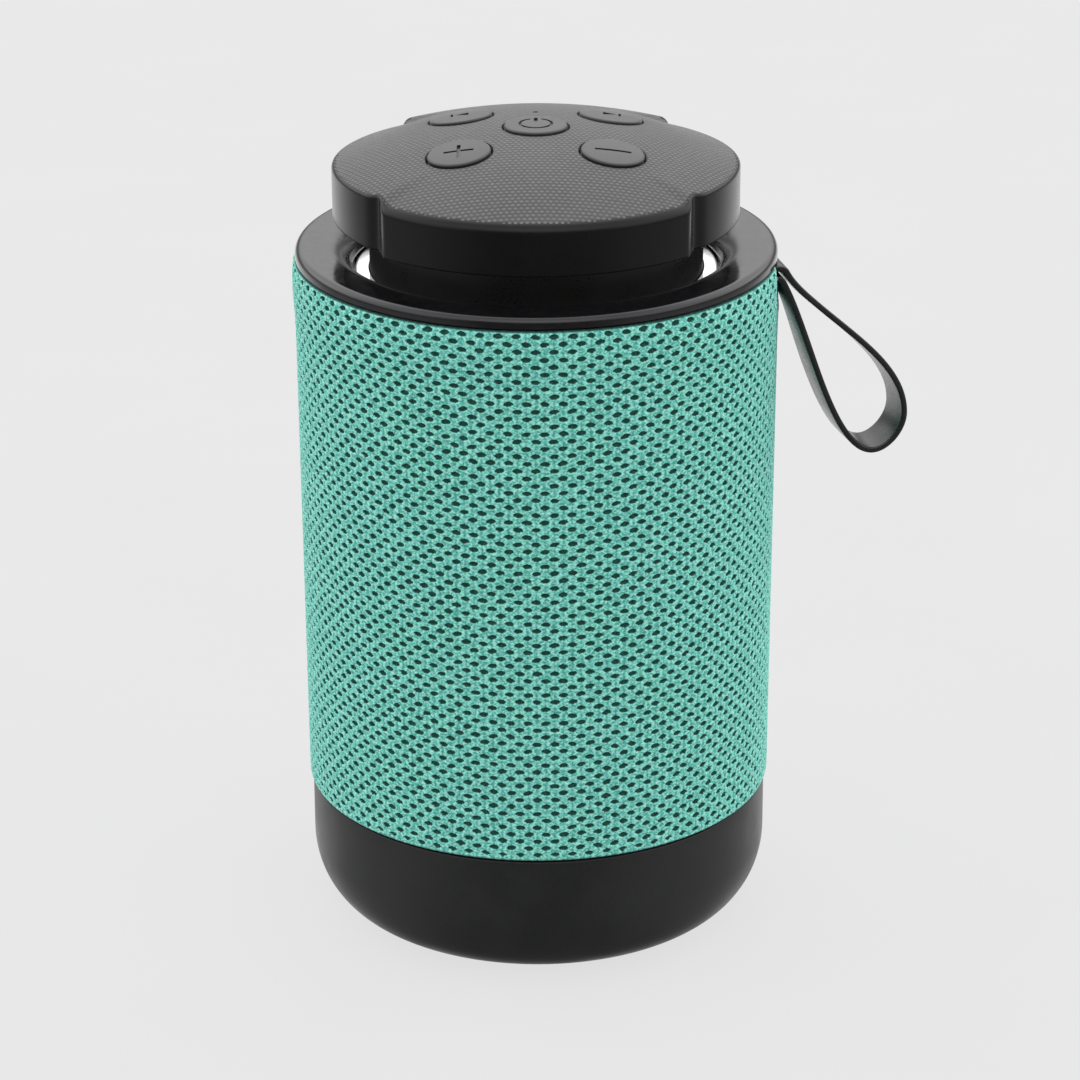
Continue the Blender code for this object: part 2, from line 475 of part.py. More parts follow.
# rubber port cover, hung on its left edge
cover_rubber = material("cover_rubber", (0.025, 0.025, 0.026), 0.65)
COVER_HINGE = (-15.2, 34.8, 17.5)
cover = lathe("port_cover", [(37.95, 21.5), (37.95, 13.5), (37.2, 13.5), (37.2, 21.5)], 96)
CUTTERS.objects.unlink(cover)
PARTS.objects.link(cover)
cover.hide_render = False
cover.display_type = "TEXTURED"
cover.data.materials.append(cover_rubber)
boolean(cover, boxes("cover_window", [((-15.2, 30.0, 12.0), (15.2, 45.0, 23.0))]), "INTERSECT")
boolean(cover, rods("cover_tab", [((14.0, 35.35, 17.5), (0.37, 0.93, 0), [(1.6, -1.0), (1.6, 1.4), (1.2, 1.7)])], segs=20), "UNION")

cover_pivot = bpy.data.objects.new("port_cover_pivot", None)
PARTS.objects.link(cover_pivot)
cover_pivot.location = Vector(COVER_HINGE) * MM
cover.parent = cover_pivot
cover.matrix_parent_inverse = Matrix.Translation(Vector(COVER_HINGE) * MM).inverted()

# ---------------------------------------------------------------- wiring
def wire(name, pts, radius, mat):
    cu = bpy.data.curves.new(name, "CURVE")
    cu.dimensions = "3D"
    cu.bevel_depth = radius * MM
    cu.bevel_resolution = 2
    cu.use_fill_caps = True
    n = 3
    sp = cu.splines.new("POLY")
    path = []
    for i in range(len(pts) - 1):
        p0 = Vector(pts[max(i - 1, 0)])
        p1, p2 = Vector(pts[i]), Vector(pts[i + 1])
        p3 = Vector(pts[min(i + 2, len(pts) - 1)])
        for j in range(n):
            t = j / n
            path.append(0.5 * ((2 * p1) + (p2 - p0) * t + (2 * p0 - 5 * p1 + 4 * p2 - p3) * t * t
                               + (3 * p1 - p0 - 3 * p2 + p3) * t ** 3))
    path.append(Vector(pts[-1]))
    sp.points.add(len(path) - 1)
    for p, v in zip(sp.points, path):
        p.co = (v.x * MM, v.y * MM, v.z * MM, 1)
    tmp = bpy.data.objects.new(name + "_path", cu)
    CUTTERS.objects.link(tmp)
    dg = bpy.context.evaluated_depsgraph_get()
    me = bpy.data.meshes.new_from_object(tmp.evaluated_get(dg))
    bpy.data.objects.remove(tmp, do_unlink=True)
    bm = bmesh.new()
    bm.from_mesh(me)
    bmesh.ops.remove_doubles(bm, verts=bm.verts, dist=0.000005)
    bmesh.ops.recalc_face_normals(bm, faces=bm.faces)
    bm.to_mesh(me)
    bm.free()
    for p in me.polygons:
        p.use_smooth = True
    return register(bpy.data.objects.new(name, me), mat)


wire_red = material("wire_red", (0.45, 0.02, 0.02), 0.5)
wire_black = material("wire_black", (0.02, 0.02, 0.02), 0.5)
for name, side, mat in (("wire_positive", 1, wire_red), ("wire_negative", -1, wire_black)):
    wire(name, [(side * 1.4, 13.0, 15.9), (side * 1.4, 12.6, 20.0), (side * 1.4, 10.5, 24.0), (side * 1.4, 6.5, 25.15), (side * 1.4, 3.0, 25.3),
                (side * 1.4, 1.4, 28.0), (side * 1.6, 1.0, 32.0), (side * 4.0, 2.0, 40.0), (side * 9.0, -1.0, 47.0), (side * 12.0, -7.0, 53.0)], 0.5, mat)

# ---------------------------------------------------------------- wrist strap
STRAP_TURN = math.radians(13.0)
STRAP_OFF = -11.5
ER = Vector((math.cos(STRAP_TURN), math.sin(STRAP_TURN), 0))
ET = Vector((-math.sin(STRAP_TURN), math.cos(STRAP_TURN), 0))
PIVOT = (38.2, 111.3)
STRAP_W, STRAP_T = 7.6, 1.15


def bezier(a, b, c, d, n):
    out = []
    for i in range(n):
        t = i / n
        out.append(tuple((1 - t) ** 3 * a[k] + 3 * (1 - t) ** 2 * t * b[k] + 3 * (1 - t) * t * t * c[k] + t ** 3 * d[k] for k in (0, 1)))
    return out


def strap_path(n=16):
    """Centreline of the hanging teardrop in (outward, up): upper arm, bottom bend, lower arm."""
    a, b, c, e = (38.0, 111.75), (58.32, 85.9), (53.75, 80.5), (38.15, 110.2)
    a1, a2 = math.radians(-44.0), math.radians(-66.0)
    p = bezier(a, (a[0] + 9.6 * math.cos(a1), a[1] + 9.6 * math.sin(a1)), (b[0], b[1] + 9.4), b, n)
    p += bezier(b, (b[0], b[1] - 2.6), (c[0] + 2.2, c[1]), c, n // 2)
    p += bezier(c, (c[0] - 8.6, c[1]), (e[0] + 11.1 * math.cos(a2), e[1] + 11.1 * math.sin(a2)), e, n)
    return p + [e]


def offset(path, d):
    out = []
    for i, p in enumerate(path):
        a, b = path[max(i - 1, 0)], path[min(i + 1, len(path) - 1)]
        tx, ty = b[0] - a[0], b[1] - a[1]
        k = math.hypot(tx, ty)
        out.append((p[0] - ty / k * d, p[1] + tx / k * d))
    return out


path = strap_path()
outside = offset(path, STRAP_T / 2)
inside = offset(path, -STRAP_T / 2)


def clear_of(p, arm):
    return min(math.hypot(p[0] - q[0], p[1] - q[1]) for q in arm) > STRAP_T / 2 + 0.4


# the eye of the loop starts where the two arms part
lo_i = next(i for i in range(len(path)) if clear_of(inside[i], path[-17:]))
hi_i = next(i for i in reversed(range(len(path))) if clear_of(inside[i], path[:17]))
hole = inside[lo_i:hi_i + 1]
knuckle_r = 1.5
hub = PIVOT
rim = arc(hub[0], hub[1], knuckle_r, 50, 215, 10)
outline = [p for p in outside if math.hypot(p[0] - hub[0], p[1] - hub[1]) > knuckle_r + 0.15]
outline = outline + list(reversed(rim))
to_world = Matrix((ER, Vector((0, 0, 1)), -ET)).transposed().to_4x4()
strap_rubber = material("strap_rubber", (0.012, 0.012, 0.013), 0.35)


def strap_point(s, z, t):
    return ER * s + ET * (STRAP_OFF + t) + Vector((0, 0, z))


pivot_world = strap_point(PIVOT[0], PIVOT[1], 0.0)
local = [[(s - PIVOT[0], z - PIVOT[1]) for s, z in loop] for loop in (outline, hole)]
strap = prism("strap_loop", local, STRAP_W, strap_rubber)
strap.matrix_world = Matrix.Translation(pivot_world * MM) @ to_world

# fixed end of the strap, seated in a pocket under the ring
pocket_frame = Matrix((ER, ET, Vector((0, 0, 1)))).transposed().to_4x4()
pocket_frame.translation = ET * STRAP_OFF
pocket = boxes("strap_pocket", [((34.2, -4.15, 108.6), (42.0, 4.15, 113.7))], frame=pocket_frame)
relief = boxes("strap_relief", [((36.6, -4.15, 106.4), (42.0, 4.15, 108.9))], frame=pocket_frame)
boolean(ring, pocket)
boolean(cage, pocket)
boolean(cage, relief)
boolean(sleeve, pocket)
boolean(sleeve, relief)
anchor = boxes("strap_anchor", [((34.5, -3.8, 109.0), (37.1, 3.8, 113.3))], strap_rubber, frame=pocket_frame)
boolean(anchor, rods("anchor_seat", [(tuple(strap_point(PIVOT[0], PIVOT[1], -6)), tuple(ET), [(knuckle_r + 0.3, 0), (knuckle_r + 0.3, 12)])], segs=32))
boolean(anchor, rods("anchor_pin_hole", [(tuple(strap_point(35.6, 111.3, -8)), tuple(ET), [(0.75, 0), (0.75, 16)])], segs=16))
pin_steel = material("pin_steel", (0.6, 0.6, 0.6), 0.25, 1.0)
rods("anchor_pin", [(tuple(strap_point(35.6, 111.3, -4.0)), tuple(ET), [(0.5, 0), (0.5, 8.0)])], pin_steel, segs=16)

bpy.context.view_layer.update()
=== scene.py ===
import json
import math

import bmesh
import bpy
import numpy as np
from mathutils import Matrix, Vector

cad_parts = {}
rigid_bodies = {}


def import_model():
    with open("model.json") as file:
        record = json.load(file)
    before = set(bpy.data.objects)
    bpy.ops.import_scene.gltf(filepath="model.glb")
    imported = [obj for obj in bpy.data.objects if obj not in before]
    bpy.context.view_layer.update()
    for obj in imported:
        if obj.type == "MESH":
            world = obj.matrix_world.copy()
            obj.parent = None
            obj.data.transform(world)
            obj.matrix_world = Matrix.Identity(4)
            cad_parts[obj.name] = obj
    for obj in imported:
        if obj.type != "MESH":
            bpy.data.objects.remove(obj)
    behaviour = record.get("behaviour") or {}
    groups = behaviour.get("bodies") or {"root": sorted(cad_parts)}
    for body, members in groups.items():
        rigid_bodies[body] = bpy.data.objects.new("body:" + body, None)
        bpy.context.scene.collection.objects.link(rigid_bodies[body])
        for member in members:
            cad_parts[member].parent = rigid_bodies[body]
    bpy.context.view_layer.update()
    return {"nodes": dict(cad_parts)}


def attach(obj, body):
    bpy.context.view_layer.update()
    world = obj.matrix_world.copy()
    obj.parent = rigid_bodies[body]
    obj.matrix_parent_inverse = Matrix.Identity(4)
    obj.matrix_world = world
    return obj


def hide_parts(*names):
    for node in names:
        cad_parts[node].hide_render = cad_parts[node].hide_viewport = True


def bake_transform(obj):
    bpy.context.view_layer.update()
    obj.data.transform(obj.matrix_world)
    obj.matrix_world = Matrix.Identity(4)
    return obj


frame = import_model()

MM = 0.001
SCENE = bpy.context.scene
VISUAL = bpy.data.collections.new("visual_pieces")
TOOLS = bpy.data.collections.new("cutting_tools")
SCENE.collection.children.link(VISUAL)
SCENE.collection.children.link(TOOLS)


# ------------------------------------------------------------------ camera
def make_camera():
    """A long lens, 22 degrees above the object, a touch off centre, as in the reference view."""
    data = bpy.data.cameras.new("view_camera")
    data.sensor_width = 36.0
    data.lens = 138.82
    data.shift_x = 0.00215
    data.shift_y = 0.0188
    data.clip_start, data.clip_end = 0.05, 20.0
    cam = bpy.data.objects.new("view_camera", data)
    SCENE.collection.objects.link(cam)
    place, aim = Vector((0.0, -0.64013, 0.32236)), Vector((0.0, 0.0, 0.060))
    look = (aim - place).to_track_quat("-Z", "Y").to_matrix() @ Matrix.Rotation(math.radians(-0.251), 3, "Z")
    cam.matrix_world = Matrix.Translation(place) @ look.to_4x4()
    SCENE.camera = cam
    return cam


make_camera()


# ------------------------------------------------------------------ node helpers
class Shader:
    """Small wrapper that builds a procedural Principled material from sockets and numbers."""

    def __init__(self, name):
        self.mat = bpy.data.materials.new(name)
        self.mat.use_nodes = True
        self.tree = self.mat.node_tree
        self.bsdf = self.tree.nodes["Principled BSDF"]
        coord = self.tree.nodes.new("ShaderNodeTexCoord")
        self.p = self.vec("SCALE", coord.outputs["Object"], 1000.0)      # position in millimetres
        self.normal = coord.outputs["Normal"]

    def link(self, value, socket):
        if isinstance(value, bpy.types.NodeSocket):
            self.tree.links.new(value, socket)
        elif isinstance(value, (tuple, list)) and socket.type == "RGBA" and len(value) == 3:
            socket.default_value = (*value, 1.0)
        else:
            socket.default_value = value

    def math(self, op, a, b=0.0, c=0.0, clamp=False):
        n = self.tree.nodes.new("ShaderNodeMath")
        n.operation = op
        n.use_clamp = clamp
        for v, s in zip((a, b, c), n.inputs):
            self.link(v, s)
        return n.outputs[0]

    def vec(self, op, a, b=None):
        n = self.tree.nodes.new("ShaderNodeVectorMath")
        n.operation = op
        self.link(a, n.inputs[0])
        if op == "SCALE":
            self.link(b, n.inputs["Scale"])
        elif b is not None:
            self.link(b, n.inputs[1])
        return n.outputs["Value"] if op in ("LENGTH", "DISTANCE", "DOT_PRODUCT") else n.outputs[0]

    def xyz(self, v=None):
        n = self.tree.nodes.new("ShaderNodeSeparateXYZ")
        self.link(self.p if v is None else v, n.inputs[0])
        return n.outputs[0], n.outputs[1], n.outputs[2]

    def join(self, x, y, z):
        n = self.tree.nodes.new("ShaderNodeCombineXYZ")
        for v, s in zip((x, y, z), n.inputs):
            self.link(v, s)
        return n.outputs[0]

    def noise(self, scale, detail=3.0, rough=0.55, at=None):
        n = self.tree.nodes.new("ShaderNodeTexNoise")
        n.inputs["Scale"].default_value = scale
        n.inputs["Detail"].default_value = detail
        n.inputs["Roughness"].default_value = rough
        self.link(self.p if at is None else at, n.inputs["Vector"])
        return n.outputs["Fac"]

    def cells(self, scale, feature="F1", at=None, jitter=1.0):
        n = self.tree.nodes.new("ShaderNodeTexVoronoi")
        n.feature = feature
        n.inputs["Scale"].default_value = scale
        n.inputs["Randomness"].default_value = jitter
        self.link(self.p if at is None else at, n.inputs["Vector"])
        return n.outputs["Distance"]

    def step(self, v, lo, hi, a=0.0, b=1.0, smooth=True):
        n = self.tree.nodes.new("ShaderNodeMapRange")
        n.interpolation_type = "SMOOTHSTEP" if smooth else "LINEAR"
        for x, s in zip((v, lo, hi, a, b), n.inputs[:5]):
            self.link(x, s)
        return n.outputs[0]

    def mix(self, fac, a, b, mode="MIX"):
        n = self.tree.nodes.new("ShaderNodeMix")
        n.data_type = "RGBA"
        n.blend_type = mode
        self.link(fac, n.inputs[0])
        self.link(a, n.inputs[6])
        self.link(b, n.inputs[7])
        return n.outputs[2]

    def bump(self, height, strength, distance, normal=None):
        n = self.tree.nodes.new("ShaderNodeBump")
        n.inputs["Strength"].default_value = strength
        n.inputs["Distance"].default_value = distance * MM
        self.link(height, n.inputs["Height"])
        if normal is not None:
            self.link(normal, n.inputs["Normal"])
        return n.outputs[0]

    def edges(self, lo=0.515, hi=0.60):
        n = self.tree.nodes.new("ShaderNodeNewGeometry")
        return self.step(n.outputs["Pointiness"], lo, hi)

    def attribute(self, name):
        n = self.tree.nodes.new("ShaderNodeAttribute")
        n.attribute_name = name
        return n.outputs["Fac"]

    def set(self, **sockets):
        for name, value in sockets.items():
            self.link(value, self.bsdf.inputs[name.replace("_", " ").title().replace("Ior", "IOR")])
        return self


def moulded(name, dark, light, rough, grain=0.35, depth=0.012, wear=0.25, spec=0.5, metal=0.0, coat=0.0, wear_colour=None, drift=9.0,
            scratches=0.0):
    """Moulded or machined surface: slow colour drift, spark-eroded grain, handling gloss and worn edges."""
    s = Shader(name)
    slow = s.noise(1.0 / drift, 3.0)
    fine = s.noise(1.0 / grain, 2.0, 0.6)
    cell = s.cells(1.0 / (grain * 1.7))
    colour = s.mix(s.step(slow, 0.35, 0.65), dark, light)
    colour = s.mix(s.step(fine, 0.35, 0.7, 0.0, 0.35), colour, tuple(min(1.0, 1.5 * c + 0.004) for c in light))
    worn = s.math("MULTIPLY", s.edges(), s.step(s.noise(0.35, 4.0), 0.4, 0.7, 0.0, wear))
    colour = s.mix(worn, colour, wear_colour or tuple(min(1.0, 2.6 * c + 0.02) for c in light))
    r = s.math("ADD", s.step(slow, 0.3, 0.7, rough * 0.9, rough * 1.1), s.step(fine, 0.3, 0.7, -0.03, 0.04))
    r = s.math("SUBTRACT", r, s.math("MULTIPLY", worn, 0.12), clamp=True)
    height = s.math("ADD", fine, s.math("MULTIPLY", cell, 0.5))
    if scratches:
        x, y, z = s.xyz()
        streak = s.noise(1.2, 2.0, 0.7, at=s.join(s.math("MULTIPLY", x, 7.0), s.math("MULTIPLY", y, 0.35), s.math("MULTIPLY", z, 5.0)))
        fleck = s.step(streak, 0.66, 0.72, 0.0, scratches)
        r = s.math("ADD", r, s.math("MULTIPLY", fleck, 0.25), clamp=True)
        height = s.math("SUBTRACT", height, fleck)
    s.set(base_color=colour, roughness=r, metallic=metal, specular_ior_level=spec, normal=s.bump(height, 0.35, depth))
    if coat:
        s.set(coat_weight=coat, coat_roughness=0.06)
    return s.mat


# ------------------------------------------------------------------ mesh helpers
def piece(name, verts, faces, mat=None, sharp=38.0):
    """Mesh object from millimetre vertices (array or list) and faces."""
    me = bpy.data.meshes.new(name)
    me.from_pydata((np.asarray(verts, float) * MM).tolist(), [], [list(map(int, f)) for f in faces])
    me.update()
    return finish_piece(bpy.data.objects.new(name, me), mat, sharp)


def finish_piece(ob, mat, sharp=38.0):
    (TOOLS if mat is None else VISUAL).objects.link(ob)
    if mat is None:
        ob.hide_render = True
        ob.display_type = "WIRE"
    else:
        ob.data.materials.clear()
        ob.data.materials.append(mat)
        ob.data.shade_smooth()
        ob.data.set_sharp_from_angle(angle=math.radians(sharp))
    return ob


def turned(name, pts, segs, mat=None, frame_to=None, sharp=38.0):
    """Solid of revolution about Z. pts (r, z) run down the outer side; r of 0 closes on the axis."""
    verts, ring = [], []
    for r, z in pts:
        if abs(r) < 1e-9:
            ring.append([len(verts)] * segs)
            verts.append((0.0, 0.0, z))
        else:
            ring.append(list(range(len(verts), len(verts) + segs)))
            verts += [(r * math.cos(2 * math.pi * j / segs), r * math.sin(2 * math.pi * j / segs), z) for j in range(segs)]
    faces = []
    for i in range(len(pts)):
        a, b = ring[i], ring[(i + 1) % len(pts)]
        if a[0] == a[1] and b[0] == b[1]:
            continue
        for j in range(segs):
            k = (j + 1) % segs
            quad = [a[j], b[j], b[k], a[k]]
            faces.append([v for n, v in enumerate(quad) if v not in quad[:n]])
    if frame_to is not None:
        verts = [tuple(frame_to @ Vector(v)) for v in verts]
    return piece(name, verts, faces, mat, sharp)


def block(name, lo, hi, frame_to=None, mat=None):
    bm = bmesh.new()
    bmesh.ops.create_cube(bm, size=1.0)
    for v in bm.verts:
        v.co = Vector(tuple((lo[k] + hi[k]) / 2 + v.co[k] * (hi[k] - lo[k]) for k in range(3)))
        if frame_to is not None:
            v.co = frame_to @ v.co
        v.co *= MM
    bmesh.ops.recalc_face_normals(bm, faces=bm.faces)
    me = bpy.data.meshes.new(name)
    bm.to_mesh(me)
    bm.free()
    return finish_piece(bpy.data.objects.new(name, me), mat)


def peg(name, at, axis, pts, segs=48, mat=None):
    """Turned solid standing on the axis through a point; pts (r, h) run down the outer side."""
    f = Vector(axis).normalized().to_track_quat("Z", "Y").to_matrix().to_4x4()
    f.translation = Vector(at)
    return turned(name, [(0.0, pts[0][1])] + list(pts) + [(0.0, pts[-1][1])], segs, mat, f)


def shaped(ob, *steps, sharp=38.0):
    """Applies Boolean steps (operation, tool, ...) in turn and keeps the result as the object's own mesh."""
    tools = []
    for k in range(0, len(steps), 2):
        op, tool = steps[k], steps[k + 1]
        mod = ob.modifiers.new("step_%d" % k, "BOOLEAN")
        mod.operation = op
        mod.solver = "EXACT"
        mod.object = tool
        tools.append(tool)
    me = bpy.data.meshes.new_from_object(ob.evaluated_get(bpy.context.evaluated_depsgraph_get()))
    ob.modifiers.clear()
    ob.data = me
    bm = bmesh.new()
    bm.from_mesh(me)
    bmesh.ops.remove_doubles(bm, verts=bm.verts, dist=2e-6)
    bmesh.ops.dissolve_degenerate(bm, edges=bm.edges, dist=1e-6)
    bm.to_mesh(me)
    bm.free()
    me.shade_smooth()
    me.set_sharp_from_angle(angle=math.radians(sharp))
    for t in set(tools):
        bpy.data.objects.remove(t, do_unlink=True)
    return ob


def softened(ob, width, angle=40.0, segments=2):
    """Breaks the sharp edges that a mould would leave rounded."""
    mod = ob.modifiers.new("edge_radius", "BEVEL")
    mod.width = width * MM
    mod.segments = segments
    mod.limit_method = "ANGLE"
    mod.angle_limit = math.radians(angle)
    mod.use_clamp_overlap = True
    mod.miter_outer = "MITER_ARC"
    me = bpy.data.meshes.new_from_object(ob.evaluated_get(bpy.context.evaluated_depsgraph_get()))
    ob.modifiers.clear()
    ob.data = me
    me.shade_smooth()
    me.set_sharp_from_angle(angle=math.radians(50.0))
    return ob


def arc(cx, cz, r, a0, a1, n):
    return [(cx + r * math.cos(math.radians(a0 + (a1 - a0) * i / n)), cz + r * math.sin(math.radians(a0 + (a1 - a0) * i / n)))
            for i in range(n + 1)]


def stands_for(ob, body, slot, *nodes):
    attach(ob, body)
    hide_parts(*nodes)
    return ob


# ------------------------------------------------------------------ dimensions shared with the CAD, in millimetres
BASE_R, BASE_TOP, FOOT_R = 38.05, 23.0, 28.2
CAP_R, BLOCK_R, CAP_Z0, EDGE_ROUND = 32.7, 34.0, 120.6, 1.8
DOME_TOP, DOME_DROP, DOME_EDGE = 134.8, 5.8, 32.5
BUTTONS = {"button_power": ((0.0, 0.0), "power_button"), "button_plus": ((-12.1, -10.5), "plus_button"),
           "button_minus": ((12.1, -10.5), "minus_button"), "button_back_left": ((-12.1, 9.2), "back_left_button"),
           "button_back_right": ((12.1, 9.2), "back_right_button")}
BUTTON_R, HOLE_R = 5.05, 5.5
LED_AT = (0.0, 9.7)
TURN = math.radians(13.0)
ER, ET, EZ = Vector((math.cos(TURN), math.sin(TURN), 0)), Vector((-math.sin(TURN), math.cos(TURN), 0)), Vector((0, 0, 1))
STRAP_OFF, PIVOT, STRAP_W, STRAP_T = -11.5, (38.2, 111.3), 7.6, 0.98
POCKET = Matrix((ER, ET, EZ)).transposed().to_4x4()
POCKET.translation = ET * STRAP_OFF


def dome(r, lower=0.0):
    return DOME_TOP - DOME_DROP * (r / DOME_EDGE) ** 2 - lower


def block_share(angle):
    """0 in a side lobe, 1 in the front or back block."""
    x, y = math.cos(angle), math.sin(angle)
    t = math.degrees(math.atan2(abs(y), abs(x)))
    lo, hi = (41.0, 46.5) if y < 0 else (46.5, 51.0)
    k = min(1.0, max(0.0, (t - lo) / (hi - lo)))
    return k * k * (3 - 2 * k), t - lo


def cap_radius(angle):
    """Outline of the cap in plan: two side lobes, a wider front and back block, a shallow cove between them."""
    k, off = block_share(angle)
    return CAP_R + (BLOCK_R - CAP_R) * k - 0.6 * math.exp(-((off + 1.2) / 2.2) ** 2)


def lobe_lift(angle, r):
    """The side lobes ride a little above the dome in front and sink below it behind, so the back block stands proud."""
    k, _ = block_share(angle)
    w = min(1.0, max(0.0, (r - 21.5) / 9.5))
    sn = math.sin(angle)
    return (1 - k) * w * w * (3 - 2 * w) * (-0.60 * sn if sn < 0 else -1.25 * sn)


# ------------------------------------------------------------------ materials
base_mat = moulded("satin_base", (0.0130, 0.0133, 0.0136), (0.0160, 0.0163, 0.0168), 0.40, grain=0.22, depth=0.010, spec=0.30, wear=0.3)
neck_mat = moulded("neck_plastic", (0.015, 0.0148, 0.0145), (0.020, 0.0197, 0.0193), 0.30, grain=0.25, depth=0.006, spec=0.35, wear=0.2)
gloss_mat = moulded("piano_ring", (0.0045, 0.0043, 0.005), (0.006, 0.0057, 0.0066), 0.13, grain=0.9, depth=0.002, spec=0.5, wear=0.25,
                    scratches=0.35)
chrome_mat = moulded("bright_trim", (0.86, 0.86, 0.88), (0.93, 0.93, 0.94), 0.07, grain=0.5, depth=0.002, metal=1.0, wear=0.0, scratches=0.2)
rubber_mat = moulded("foot_rubber_look", (0.018, 0.018, 0.018), (0.028, 0.028, 0.027), 0.78, grain=0.18, depth=0.03, spec=0.3, wear=0.4)
cover_mat = moulded("cover_rubber_look", (0.011, 0.011, 0.012), (0.015, 0.015, 0.016), 0.55, grain=0.2, depth=0.014, spec=0.3, wear=0.3)
strap_mat = moulded("strap_look", (0.0055, 0.006, 0.006), (0.008, 0.0085, 0.0085), 0.30, grain=0.5, depth=0.006, spec=0.5, wear=0.35, scratches=0.5)
steel_mat = moulded("screw_look", (0.30, 0.30, 0.31), (0.42, 0.42, 0.44), 0.32, grain=0.12, depth=0.01, metal=1.0, wear=0.3, scratches=0.6)
pin_mat = moulded("pin_look", (0.55, 0.55, 0.56), (0.68, 0.68, 0.69), 0.22, grain=0.1, depth=0.004, metal=1.0, wear=0.2, scratches=0.5)
chassis_mat = moulded("chassis_look", (0.026, 0.026, 0.028), (0.040, 0.040, 0.042), 0.55, grain=0.4, depth=0.03, wear=0.3)
cage_mat = moulded("cage_look", (0.016, 0.017, 0.018), (0.024, 0.025, 0.026), 0.5, grain=0.3, depth=0.02, wear=0.3)
plate_mat = moulded("cap_plate_look", (0.026, 0.026, 0.027), (0.038, 0.038, 0.039), 0.5, grain=0.4, depth=0.02, wear=0.3)
button_mat = moulded("button_look", (0.0135, 0.0138, 0.0135), (0.0200, 0.0203, 0.0200), 0.36, grain=0.16, depth=0.008, spec=0.5, wear=0.5)
for look, socket, value in ((button_mat, "Sheen Weight", 0.28), (button_mat, "Sheen Roughness", 0.35), (gloss_mat, "Specular Tint", (0.965, 0.97, 1.0, 1.0))):
    for node in look.node_tree.nodes:
        if node.type == "BSDF_PRINCIPLED":
            node.inputs[socket].default_value = value
basket_mat = moulded("basket_look", (0.045, 0.045, 0.048), (0.07, 0.07, 0.075), 0.4, grain=0.25, depth=0.015, metal=0.6, wear=0.6, scratches=0.4)
magnet_mat = moulded("magnet_look", (0.20, 0.20, 0.21), (0.31, 0.31, 0.32), 0.38, grain=0.4, depth=0.02, metal=0.9, wear=0.4, scratches=0.5)
surround_mat = moulded("surround_look", (0.014, 0.014, 0.014), (0.024, 0.024, 0.024), 0.6, grain=0.15, depth=0.02, wear=0.2)
radiator_mat = moulded("radiator_look", (0.34, 0.34, 0.35), (0.46, 0.46, 0.48), 0.28, grain=0.12, depth=0.006, metal=1.0, wear=0.3, scratches=0.8)
port_mat = moulded("port_look", (0.5, 0.5, 0.51), (0.66, 0.66, 0.67), 0.26, grain=0.2, depth=0.006, metal=1.0, wear=0.3, scratches=0.4)
switch_mat = moulded("switch_look", (0.42, 0.42, 0.43), (0.58, 0.58, 0.59), 0.34, grain=0.15, depth=0.006, metal=1.0, wear=0.3)
jack_mat = moulded("jack_look", (0.02, 0.02, 0.02), (0.034, 0.034, 0.034), 0.35, grain=0.2, depth=0.01, wear=0.3)
tray_mat = moulded("tray_look", (0.022, 0.022, 0.022), (0.034, 0.034, 0.034), 0.6, grain=0.3, depth=0.03, wear=0.3)
red_mat = moulded("red_wire_look", (0.36, 0.012, 0.012), (0.5, 0.025, 0.022), 0.48, grain=0.3, depth=0.01, wear=0.1)
black_wire_mat = moulded("black_wire_look", (0.014, 0.014, 0.014), (0.024, 0.024, 0.024), 0.48, grain=0.3, depth=0.01, wear=0.1)


